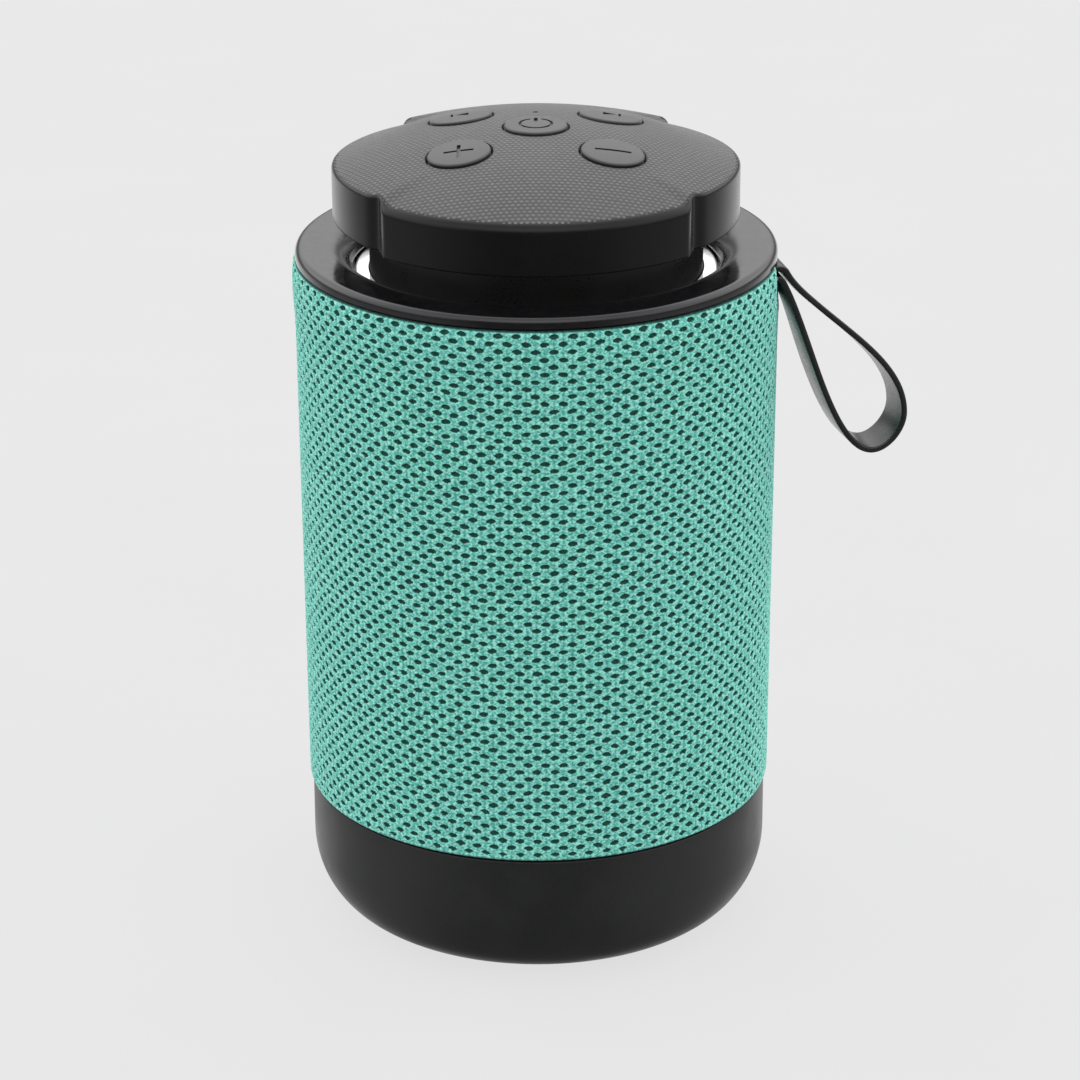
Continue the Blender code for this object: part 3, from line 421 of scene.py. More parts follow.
def cap_material():
    """Cap: soft-touch top with a moulded lattice of raised dots that stops at a ragged line, smooth satin walls."""
    s = Shader("cap_soft_touch")
    x, y, z = s.xyz()
    px, py = 0.90, 1.76

    def lattice(ox, oy):
        fx = s.math("SUBTRACT", s.math("FRACT", s.math("ADD", s.math("DIVIDE", x, px), 100.0 + ox)), 0.5)
        fy = s.math("SUBTRACT", s.math("FRACT", s.math("ADD", s.math("DIVIDE", y, py), 100.0 + oy)), 0.5)
        d = s.vec("LENGTH", s.join(s.math("MULTIPLY", fx, px), s.math("MULTIPLY", fy, py), 0.0))
        return s.step(d, 0.40, 0.14)

    dots = s.math("MAXIMUM", lattice(0.0, 0.0), lattice(0.5, 0.5))
    uneven = s.step(s.noise(0.9, 2.0), 0.3, 0.7, 0.55, 1.0)
    ragged = s.math("ADD", s.attribute("rim"), s.math("MULTIPLY", dots, 0.42))
    top = s.math("MULTIPLY", s.step(ragged, 1.42, 1.54), s.step(s.attribute("crown"), 0.35, 0.6))
    slow = s.noise(0.08, 3.0)
    fine = s.noise(3.2, 3.0, 0.6)
    body = s.mix(s.step(slow, 0.35, 0.65), (0.024, 0.0242, 0.0242), (0.031, 0.0313, 0.0313))
    body = s.mix(s.math("MULTIPLY", dots, uneven), body, (0.098, 0.098, 0.096))
    body = s.mix(s.step(fine, 0.42, 0.72, 0.0, 0.40), body, (0.065, 0.066, 0.065))
    wall = s.mix(s.step(slow, 0.35, 0.65), (0.0042, 0.0043, 0.0045), (0.0060, 0.0061, 0.0063))
    wall = s.mix(s.math("MULTIPLY", s.edges(), 0.2), wall, (0.035, 0.035, 0.035))
    wall = s.mix(s.step(fine, 0.4, 0.75, 0.0, 0.25), wall, (0.010, 0.010, 0.010))
    s.set(base_color=s.mix(top, wall, body),
          roughness=s.math("ADD", s.step(top, 0.0, 1.0, 0.24, 0.52), s.step(fine, 0.3, 0.7, -0.02, 0.03)),
          specular_ior_level=s.step(top, 0.0, 1.0, 0.22, 0.42),
          sheen_weight=s.math("MULTIPLY", top, 0.24), sheen_roughness=0.36)
    grain = s.math("ADD", s.math("MULTIPLY", dots, top), s.math("MULTIPLY", fine, s.step(top, 0.0, 1.0, 0.03, 0.45)))
    s.set(normal=s.bump(grain, 1.0, 0.075))
    return s.mat


def fabric_material():
    """Open-mesh knit: light teal yarn webs leaning both ways round open holes darkened with painted shade, painted
    highlights on the hole lips and yarns, a faint wale line of painted shade between holes, painted shadow along the
    top and bottom edges.
    """
    s = Shader("teal_mesh_knit")
    x, y, z = s.xyz()
    hole = s.attribute("hole")              # 1 on the lip of a hole, 0 in its middle
    groove = s.attribute("groove")
    lean = s.attribute("lean")
    around = s.math("MULTIPLY", s.math("ARCTAN2", y, x), 39.0)
    flat = s.join(around, z, 0.0)

    def strand(sign):
        along = s.math("ADD", s.math("MULTIPLY", around, 0.87), s.math("MULTIPLY", z, 0.50 * sign))
        across = s.math("SUBTRACT", s.math("MULTIPLY", z, 0.87), s.math("MULTIPLY", around, 0.50 * sign))
        return s.noise(1.7, 2.0, 0.55, at=s.join(s.math("MULTIPLY", along, 0.7), s.math("MULTIPLY", across, 1.7), 3.0 * sign))

    yarn = s.math("ADD", s.math("MULTIPLY", strand(1.0), lean), s.math("MULTIPLY", strand(-1.0), s.math("SUBTRACT", 1.0, lean)))
    fibre = s.noise(2.0, 2.0, 0.55, at=flat)
    slow = s.noise(0.045, 2.0, at=flat)
    web = s.mix(s.step(slow, 0.35, 0.65), (0.124, 0.600, 0.482), (0.138, 0.600, 0.515))
    # light and dark flecks along the strands and fibres: partly yarn tone, partly painted highlights on the round yarns
    # and painted shade between them
    web = s.mix(s.step(yarn, 0.50, 0.60, 0.0, 0.85), web, (0.34, 0.84, 0.70))
    web = s.mix(s.step(yarn, 0.49, 0.40, 0.0, 0.85), web, (0.055, 0.30, 0.255))
    web = s.mix(s.step(fibre, 0.52, 0.62, 0.0, 0.50), web, (0.50, 0.90, 0.80))
    web = s.mix(s.step(fibre, 0.46, 0.36, 0.0, 0.45), web, (0.060, 0.31, 0.27))
    # painted highlight: a lighter band on the lip round each hole
    rim = s.math("MULTIPLY", s.step(hole, 1.12, 1.28), s.step(hole, 1.75, 1.40))
    web = s.mix(s.math("MULTIPLY", rim, s.step(fibre, 0.38, 0.55, 0.15, 0.60)), web, (0.37, 0.86, 0.75))
    # painted shade: the wale groove between holes is coloured darker teal
    web = s.mix(s.math("MULTIPLY", groove, s.step(fibre, 0.35, 0.6, 0.74, 0.42)), web, (0.045, 0.245, 0.245))
    # painted shade: pit walls get a darker teal and pit floors a near-black green, standing in for the shade inside the
    # holes; the floor colour also carries the darker backing yarn
    side = s.mix(s.step(fibre, 0.4, 0.6), (0.046, 0.225, 0.190), (0.075, 0.320, 0.270))
    floor = s.mix(s.step(fibre, 0.4, 0.65), (0.017, 0.070, 0.055), (0.030, 0.105, 0.082))
    edge = s.math("ADD", hole, s.math("MULTIPLY", s.math("SUBTRACT", fibre, 0.5), 0.8))
    colour = s.mix(s.step(edge, 1.14, 0.94), web, side)
    colour = s.mix(s.step(edge, 1.00, 0.80), colour, floor)
    # painted shadow: the knit is darkened just under the gloss ring
    colour = s.mix(s.step(z, 113.25, 113.5, 0.0, 0.9), colour, (0.010, 0.040, 0.034))
    # painted shade: the knit is darkened where it meets the base
    colour = s.mix(s.step(z, 23.85, 23.5, 0.0, 0.7), colour, (0.015, 0.060, 0.050))
    solid = s.step(hole, 0.85, 1.15)
    height = s.math("ADD", s.math("MULTIPLY", yarn, 0.9), s.math("MULTIPLY", fibre, 0.6))
    s.set(base_color=colour, roughness=0.82, specular_ior_level=s.math("MULTIPLY", solid, 0.28),
          sheen_weight=s.math("MULTIPLY", solid, 0.15), sheen_roughness=0.45, sheen_tint=(0.75, 1.0, 0.92, 1.0),
          normal=s.bump(height, 0.7, 0.12))
    return s.mat


def lens_material():
    s = Shader("led_lens_look")
    fine = s.noise(1.4, 3.0)
    s.set(base_color=s.mix(s.step(fine, 0.3, 0.7), (0.030, 0.032, 0.034), (0.050, 0.052, 0.055)), roughness=s.step(fine, 0.3, 0.7, 0.12, 0.22),
          transmission_weight=0.2, specular_ior_level=0.5, normal=s.bump(fine, 0.2, 0.01))
    return s.mat


def board_material():
    """Solder mask with copper tracks and pads under it."""
    s = Shader("circuit_board_look")
    x, y, z = s.xyz()
    tracks = s.step(s.cells(0.45, "DISTANCE_TO_EDGE", at=s.join(s.math("SNAP", x, 0.5), s.math("SNAP", y, 0.5), 0.0)), 0.02, 0.06)
    pads = s.step(s.cells(0.7), 0.16, 0.12)
    colour = s.mix(s.step(s.noise(0.2), 0.35, 0.65), (0.010, 0.075, 0.030), (0.018, 0.115, 0.048))
    colour = s.mix(s.math("MULTIPLY", s.math("SUBTRACT", 1.0, tracks), 0.6), colour, (0.035, 0.22, 0.08))
    colour = s.mix(pads, colour, (0.55, 0.50, 0.40))
    s.set(base_color=colour, roughness=s.step(pads, 0.0, 1.0, 0.38, 0.25), metallic=s.math("MULTIPLY", pads, 0.9),
          normal=s.bump(s.math("ADD", pads, s.math("SUBTRACT", 1.0, tracks)), 0.5, 0.03))
    return s.mat


def cell_material():
    """Shrink wrap on the battery cell: faint lengthwise wrinkles."""
    s = Shader("cell_wrap_look")
    x, y, z = s.xyz()
    wrinkle = s.noise(0.7, 4.0, 0.6, at=s.join(s.math("MULTIPLY", x, 0.15), y, z))
    s.set(base_color=s.mix(s.step(wrinkle, 0.3, 0.7), (0.030, 0.085, 0.28), (0.055, 0.14, 0.40)), roughness=s.step(wrinkle, 0.3, 0.7, 0.26, 0.42),
          coat_weight=0.3, normal=s.bump(wrinkle, 0.4, 0.08))
    return s.mat


def paper_material():
    """Pressed paper pulp of the loudspeaker cone."""
    s = Shader("cone_paper_look")
    pulp = s.noise(1.6, 5.0, 0.7)
    hair = s.cells(1.1, "DISTANCE_TO_EDGE")
    s.set(base_color=s.mix(s.step(pulp, 0.3, 0.7), (0.030, 0.030, 0.030), (0.065, 0.064, 0.062)), roughness=s.step(pulp, 0.3, 0.7, 0.68, 0.85),
          normal=s.bump(s.math("ADD", pulp, s.step(hair, 0.0, 0.1, 0.4, 0.0)), 0.6, 0.08))
    return s.mat


def ribbon_material():
    """Flat flex: parallel conductors under a grey film."""
    s = Shader("ribbon_look")
    x, y, z = s.xyz()
    line = s.step(s.math("ABSOLUTE", s.math("SUBTRACT", s.math("FRACT", s.math("DIVIDE", x, 0.5)), 0.5)), 0.18, 0.30)
    n = s.noise(0.6)
    s.set(base_color=s.mix(line, s.mix(s.step(n, 0.3, 0.7), (0.30, 0.30, 0.32), (0.40, 0.40, 0.42)), (0.50, 0.46, 0.36)), roughness=0.42,
          metallic=s.math("MULTIPLY", line, 0.4), normal=s.bump(line, 0.5, 0.03))
    return s.mat


cap_mat = cap_material()
fabric_mat = fabric_material()
lens_mat = lens_material()
LOOKS = {"chassis": chassis_mat, "grille_cage": cage_mat, "cap_plate": plate_mat, "key_board": board_material(),
         "main_board": None, "ribbon_cable": ribbon_material(), "driver_basket": basket_mat, "driver_magnet": magnet_mat,
         "driver_surround": surround_mat, "radiator_surround": surround_mat, "driver_cone": paper_material(),
         "radiator_frame": basket_mat, "radiator_plate": radiator_mat, "battery_cell": cell_material(), "battery_tray": tray_mat,
         "usb_port": port_mat, "card_slot": port_mat, "audio_jack": jack_mat, "microphone": switch_mat, "wire_positive": red_mat,
         "wire_negative": black_wire_mat, "anchor_pin": pin_mat}
LOOKS["main_board"] = LOOKS["key_board"]
for node, ob in frame["nodes"].items():
    look = LOOKS.get(node)
    if look is None and "screw" in node:
        look = steel_mat
    if look is None and node.startswith("switch_"):
        look = switch_mat
    if look is not None:
        ob.data.materials.clear()
        ob.data.materials.append(look)


# ------------------------------------------------------------------ base cup
def base_outer(z):
    if z >= 12.7:
        return BASE_R
    t = (12.7 - z) / 12.3
    return FOOT_R + (BASE_R - FOOT_R) * math.sqrt(max(0.0, 1 - t * t))


curve = [12.7 - 12.3 * math.sin(math.radians(90 * i / 28)) for i in range(29)]
outer = [(BASE_R - 0.9, BASE_TOP)] + arc(BASE_R - 0.35, BASE_TOP - 0.35, 0.35, 90, 0, 5) + [(BASE_R, 20.0), (BASE_R, 16.0)]
outer += [(base_outer(z), z) for z in curve[:-1]] + [(FOOT_R, 0.42), (FOOT_R - 0.1, 0.4)]
inner = [(base_outer(z) - 2.15, z) for z in [4.4 + 8.3 * i / 8 for i in range(9)]] + [(BASE_R - 2.15, BASE_TOP)]
base = turned("speaker_base", [(0.0, 4.4)] + inner + outer + [(26.2, 0.4), (25.9, 0.55), (25.9, 1.6), (0.0, 1.6)], 192, base_mat)
SCREWS = [(-14.0, -17.5), (14.0, -17.5), (-19.5, 13.0), (19.5, 13.0)]
steps = []
for i, (x, y) in enumerate(SCREWS):
    steps += ["DIFFERENCE", peg("screw_seat_%d" % i, (x, y, 0), (0, 0, 1), [(1.6, 5.0), (1.6, 2.95), (2.8, 2.9), (2.8, 1.0)], 40)]
sweep = turned("port_sweep", [(41.0, 21.8), (41.0, 13.2), (37.2, 13.2), (36.9, 13.5), (36.9, 21.5), (37.2, 21.8)], 192)
shaped(sweep, "INTERSECT", block("port_window", (-15.5, 30.0, 12.0), (15.5, 45.0, 23.0)))
steps += ["DIFFERENCE", sweep, "DIFFERENCE", block("usb_mouth", (-13.8, 30.0, 15.2), (-5.2, 40.0, 18.8)),
          "DIFFERENCE", peg("jack_mouth", (0, 30, 18.5), (0, 1, 0), [(2.1, 10), (2.1, 0)]),
          "DIFFERENCE", block("card_mouth", (4.0, 30.0, 15.7), (14.2, 40.0, 17.5))]
shaped(base, *steps)
stands_for(base, "body", "base_black", "base_cup")

foot = turned("rubber_foot", [(0.0, 1.3), (25.5, 1.3)] + arc(25.1, 0.4, 0.4, 0, -90, 5) + [(20.2, 0.0), (19.9, 0.12), (19.6, 0.4), (17.4, 0.4), (17.1, 0.12),
              (16.8, 0.0), (11.0, 0.0), (10.7, 0.12), (10.5, 0.3), (9.5, 0.3), (9.3, 0.12), (9.0, 0.0), (0.0, 0.0)], 160, rubber_mat)
stands_for(foot, "body", "foot_rubber", "foot_pad")

# rubber port cover with a pull tab
cover = turned("rubber_port_cover", [(37.6, 21.5)] + arc(37.65, 21.2, 0.3, 90, 0, 4) + arc(37.65, 13.8, 0.3, 0, -90, 4) + [(37.2, 13.5), (37.2, 21.5)], 256, cover_mat)
tab = peg("cover_pull", (14.0, 35.35, 17.5), (0.37, 0.93, 0), [(0.9, 1.72), (1.25, 1.66), (1.5, 1.5), (1.6, 1.3), (1.6, -1.0)], 48)
shaped(cover, "INTERSECT", block("cover_window", (-15.2, 30.0, 12.0), (15.2, 45.0, 23.0)), "UNION", tab)
stands_for(cover, "cover", "cover_rubber", "port_cover")

# ------------------------------------------------------------------ ring, trim, neck
bell = [(29.5, 110.5), (29.5, 111.7), (29.62, 112.15), (29.85, 112.75), (30.15, 113.4), (30.55, 114.0), (31.0, 114.55), (31.5, 115.02),
        (32.0, 115.36), (32.5, 115.57), (33.0, 115.67), (33.6, 115.7)]
ring = turned("gloss_ring", [(37.5, 115.7)] + arc(37.7, 114.5, 1.2, 88, 0, 12) + [(38.9, 114.0), (38.8, 113.9), (36.4, 113.9), (36.4, 106.9), (34.9, 106.9), (34.9, 109.2),
              (27.3, 109.2), (27.3, 110.5)] + bell, 256, gloss_mat, sharp=30)
shaped(ring, "DIFFERENCE", block("ring_pocket", (34.2, -4.15, 108.6), (42.0, 4.15, 113.7), POCKET), sharp=30)
stands_for(ring, "body", "ring_gloss", "top_ring")

trim = turned("bright_trim_ring", [(27.1, 111.7), (28.78, 111.7), (28.88, 111.7), (29.08, 111.66), (29.18, 111.58), (29.2, 111.45), (29.2, 110.8), (27.5, 110.8), (27.1, 111.3)], 256, chrome_mat)
stands_for(trim, "body", "trim_chrome", "trim_ring")

neck = turned("cap_neck_tube", [(26.7, 120.3), (26.9, 120.1), (26.9, 108.4), (27.0, 108.2), (29.0, 108.2), (29.0, 106.6), (25.2, 106.6), (25.2, 120.3)], 192, neck_mat)
stands_for(neck, "body", "neck_black", "cap_neck")

# ------------------------------------------------------------------ control cap
def cap_loft(steps=720, rings=27, a0=70.5):
    """Closed shell blank: crown, dome rings that follow the outline, rounded edge, wall, small lower radius, underside."""
    verts, lines = [], []
    for j in range(steps):
        a = 2 * math.pi * j / steps
        r = cap_radius(a)
        er = edge_round(a)
        rs = r - er * (1 - math.cos(math.radians(a0)))
        zc = dome(rs) + lobe_lift(a, rs) - er * math.sin(math.radians(a0))
        line = [(rs * i / rings, dome(rs * i / rings) + lobe_lift(a, rs * i / rings)) for i in range(1, rings + 1)]
        line += arc(r - er, zc, er, a0 - 7.0, 0, 8)
        line += [(r, 125.4), (r, CAP_Z0 + 0.45)] + arc(r - 0.4, CAP_Z0 + 0.4, 0.4, 0, -90, 4)[1:]
        lines.append(range(len(verts), len(verts) + len(line)))
        verts += [(q * math.cos(a), q * math.sin(a), z) for q, z in line]
    verts += [(0, 0, DOME_TOP), (0, 0, CAP_Z0)]
    crown, under, m = len(verts) - 2, len(verts) - 1, len(lines[0])
    faces = []
    for j in range(steps):
        a, b = lines[j], lines[(j + 1) % steps]
        faces += [(crown, a[0], b[0]), (under, b[m - 1], a[m - 1])]
        faces += [(a[i], a[i + 1], b[i + 1], b[i]) for i in range(m - 1)]
    return piece("control_cap", verts, faces, cap_mat, 30)


def edge_round(angle):
    """Edge radius: crisp on the lobes, softer on the blocks."""
    return 0.75 + (EDGE_ROUND - 0.75) * block_share(angle)[0]


shell = cap_loft()
cavity = turned("cap_cavity", [(31.0 * i / 12, dome(31.0 * i / 12, 1.8)) for i in range(13)] + [(31.0, 119.0), (0.0, 119.0)], 96)
bosses, bores = [], []
for a in (0, 90, 180, 270):
    c, sn = 28.3 * math.cos(math.radians(a)), 28.3 * math.sin(math.radians(a))
    bosses += ["UNION", peg("boss_%d" % a, (c, sn, 0), (0, 0, 1), [(2.6, 129.4), (2.6, 122.7)], 32)]
    bores += ["DIFFERENCE", peg("boss_bore_%d" % a, (c, sn, 0), (0, 0, 1), [(1.2, 127.0), (1.2, 122.0)], 24)]


def button_frame(x, y):
    """Frame on the dome at plan point (x, y): local Z is the dome's outward normal."""
    r = math.hypot(x, y)
    slope = 2 * DOME_DROP * r / DOME_EDGE ** 2
    n = Vector((slope * x / r, slope * y / r, 1.0)).normalized() if r > 0 else Vector((0, 0, 1))
    ex = (Vector((1, 0, 0)) - n * n.x).normalized()
    m = Matrix((ex, n.cross(ex), n)).transposed().to_4x4()
    m.translation = Vector((x, y, dome(r)))
    return m


holes = []
for node, ((x, y), _) in BUTTONS.items():
    m = button_frame(x, y)
    lip = [(HOLE_R + 0.5, 4.0), (HOLE_R + 0.10, 0.02), (HOLE_R + 0.03, -0.05), (HOLE_R, -0.14), (HOLE_R, -5.0)]
    holes += ["DIFFERENCE", peg(node + "_hole", m.translation + Vector((0.0031, 0.0017, 0.0)), m.to_3x3() @ EZ, lip, 100)]
holes += ["DIFFERENCE", peg("led_hole", (LED_AT[0], LED_AT[1], 0), (0, 0, 1), [(0.5, 137.0), (0.5, 130.0)], 48)]
shaped(shell, "DIFFERENCE", cavity, *bosses, *bores, *holes, sharp=30)


def mark_cap(ob):
    """Per-vertex distance inside the outline, and 1 where the vertex lies on the outer dome."""
    co = np.empty(len(ob.data.vertices) * 3, np.float32)
    ob.data.vertices.foreach_get("co", co)
    x, y, z = (co.reshape(-1, 3) / MM).T
    r = np.hypot(x, y)
    angle = np.arctan2(y, x)
    spare = np.array([(EDGE_ROUND - edge_round(a)) * 0.68 for a in angle])
    outline = np.array([cap_radius(a) for a in angle])
    inside = outline - r
    rim = np.where((y > 0) & (outline > 33.2), 33.1 - r, inside + spare)
    surface = dome(r) + np.array([lobe_lift(a, q) for a, q in zip(angle, r)])
    crown = ((np.abs(z - surface) < 0.02) & (inside + spare > 1.1)).astype(np.float32)
    for name, values in (("rim", rim), ("crown", crown)):
        ob.data.attributes.new(name, "FLOAT", "POINT").data.foreach_set("value", values.astype(np.float32))


mark_cap(shell)
stands_for(shell, "body", "cap_black", "cap_shell")

# ------------------------------------------------------------------ buttons
SWITCH_TOP, TRAVEL = 128.2, 0.4
for node, ((x, y), body) in BUTTONS.items():
    m = button_frame(x, y)
    n = m.to_3x3() @ EZ
    stem = (SWITCH_TOP + TRAVEL + 0.25 - m.translation.z) / n.z
    crown = [(4.6 * i / 12, 0.50 - 0.0085 * (4.6 * i / 12) ** 2) for i in range(13)]
    edge = [(4.57 + 0.48 * math.sin(math.radians(a)), 0.32 * math.cos(math.radians(a))) for a in (20, 32, 44, 56, 68, 79, 90)]
    key = turned(node.replace("button", "key"), crown + edge + [(BUTTON_R, -2.15), (6.2, -2.15), (6.2, -3.0), (1.3, -3.0), (1.3, stem), (0.0, stem)], 128, button_mat, m)
    if node == "button_power":
        mark = turned("power_arc", [(2.8, 1.5), (2.8, 0.12), (2.3, 0.12), (2.3, 1.5)], 96, frame_to=m)
        shaped(mark, "DIFFERENCE", block("power_gap", (-0.85, 1.2, -0.2), (0.85, 3.4, 2.0), m))
        cuts = ["DIFFERENCE", mark, "DIFFERENCE", block("power_bar", (-0.3, 0.8, 0.12), (0.3, 3.1, 1.5), m)]
    elif node == "button_minus":
        cuts = ["DIFFERENCE", block("minus_bar", (-2.9, -0.3, 0.12), (2.9, 0.3, 1.5), m)]
    elif node == "button_plus":
        cross = block("plus_bar", (-2.4, -0.3, 0.12), (2.4, 0.3, 1.5), m)
        shaped(cross, "UNION", block("plus_post", (-0.3, -2.4, 0.11), (0.3, 2.4, 1.52), m))
        cuts = ["DIFFERENCE", cross]
    else:
        way = -1 if node == "button_back_left" else 1
        tri = [(way * -1.3, -1.0), (way * 0.9, 0.0), (way * -1.3, 1.0)]
        tri = tri if way > 0 else tri[::-1]
        arrow = piece(node + "_arrow", [tuple(m @ Vector((px, py, h))) for h in (0.2, 1.5) for px, py in tri],
                      [(0, 2, 1), (3, 4, 5), (0, 1, 4, 3), (1, 2, 5, 4), (2, 0, 3, 5)])
        cuts = ["DIFFERENCE", arrow, "DIFFERENCE", block(node + "_stop", (min(way * 1.2, way * 1.6), -1.0, 0.2), (max(way * 1.2, way * 1.6), 1.0, 1.5), m)]
    shaped(key, *cuts, sharp=32)
    stands_for(key, body, "button_black", node)

lens = peg("status_lens", (LED_AT[0], LED_AT[1], 0), (0, 0, 1), [(0.15, dome(9.7) - 0.28), (0.28, dome(9.7) - 0.3), (0.34, dome(9.7) - 0.34), (0.36, dome(9.7) - 0.42), (0.36, 127.4)], 48, lens_mat)
stands_for(lens, "body", "led_lens_clear", "led_lens")

# ------------------------------------------------------------------ knitted sleeve
HOLES_ROUND, ROW, FAB_Z0, FAB_Z1 = 86, 1.227, 23.4, 113.55
HOLE_W, HOLE_H, HOLE_DEPTH = 0.80, 0.44, 0.38
KNIT_PHASE = 1.2
NOTCH_Z, NOTCH_HALF = 109.2, 4.05


def sleeve_radius(z):
    """Outer radius of the stretched sleeve: slight taper, a soft roll under the ring."""
    r = 38.52 + 0.50 * np.clip((z - 24.0) / 80.0, 0, 1) + 0.36 * np.exp(-((z - 109.6) / 4.6) ** 2)
    top = np.clip((z - 112.7) / (FAB_Z1 - 112.7), 0, 1)
    low = np.clip((24.1 - z) / (24.1 - FAB_Z0), 0, 1)
    return r - 0.62 * (1 - np.sqrt(1 - np.minimum(top, 1) ** 2)) - 0.3 * (1 - np.sqrt(1 - low ** 2))


def knit_fields(A, Z, first, count):
    """Hole distance (1 on the lip), wale groove and yarn lean at each grid point."""
    pitch = 2 * math.pi * 39.0 / HOLES_ROUND
    rng = np.random.default_rng(7)
    jig = rng.normal(0, 1.0, (count + 4, HOLES_ROUND, 4))
    best = np.full(A.shape, 9.0)
    lean = np.full(A.shape, 0.5)
    base_row = np.floor((Z - first) / ROW).astype(int)
    for dk in (-1, 0, 1, 2):
        k = base_row + dk
        shift = np.mod(k, 2) * 0.5
        t = (A * 39.0 - KNIT_PHASE) / pitch - shift
        col = np.round(t).astype(int)
        kk, cc = np.clip(k, 0, count + 3), np.mod(col, HOLES_ROUND)
        g = jig[kk, cc]
        u = (t - col) * pitch - 0.045 * g[..., 0]
        v = Z - (first + k * ROW) - 0.030 * g[..., 1] - 0.06 * u * g[..., 3]
        size = 1.0 + 0.055 * g[..., 2]
        f = ((np.abs(u) / HOLE_W) ** 1.55 + (np.abs(v) / HOLE_H) ** 1.8) / size
        f = np.where((k >= 0) & (k < count), f, 9.0)
        nearer = f < best
        best = np.where(nearer, f, best)
        lean = np.where(nearer, 0.5 + 0.5 * np.tanh(u * v * 9.0), lean)
    wale = (A * 39.0 - KNIT_PHASE) / (pitch / 2)
    groove = np.exp(-((wale - np.round(wale)) * (pitch / 2) / 0.17) ** 2)
    return best, groove, lean, pitch


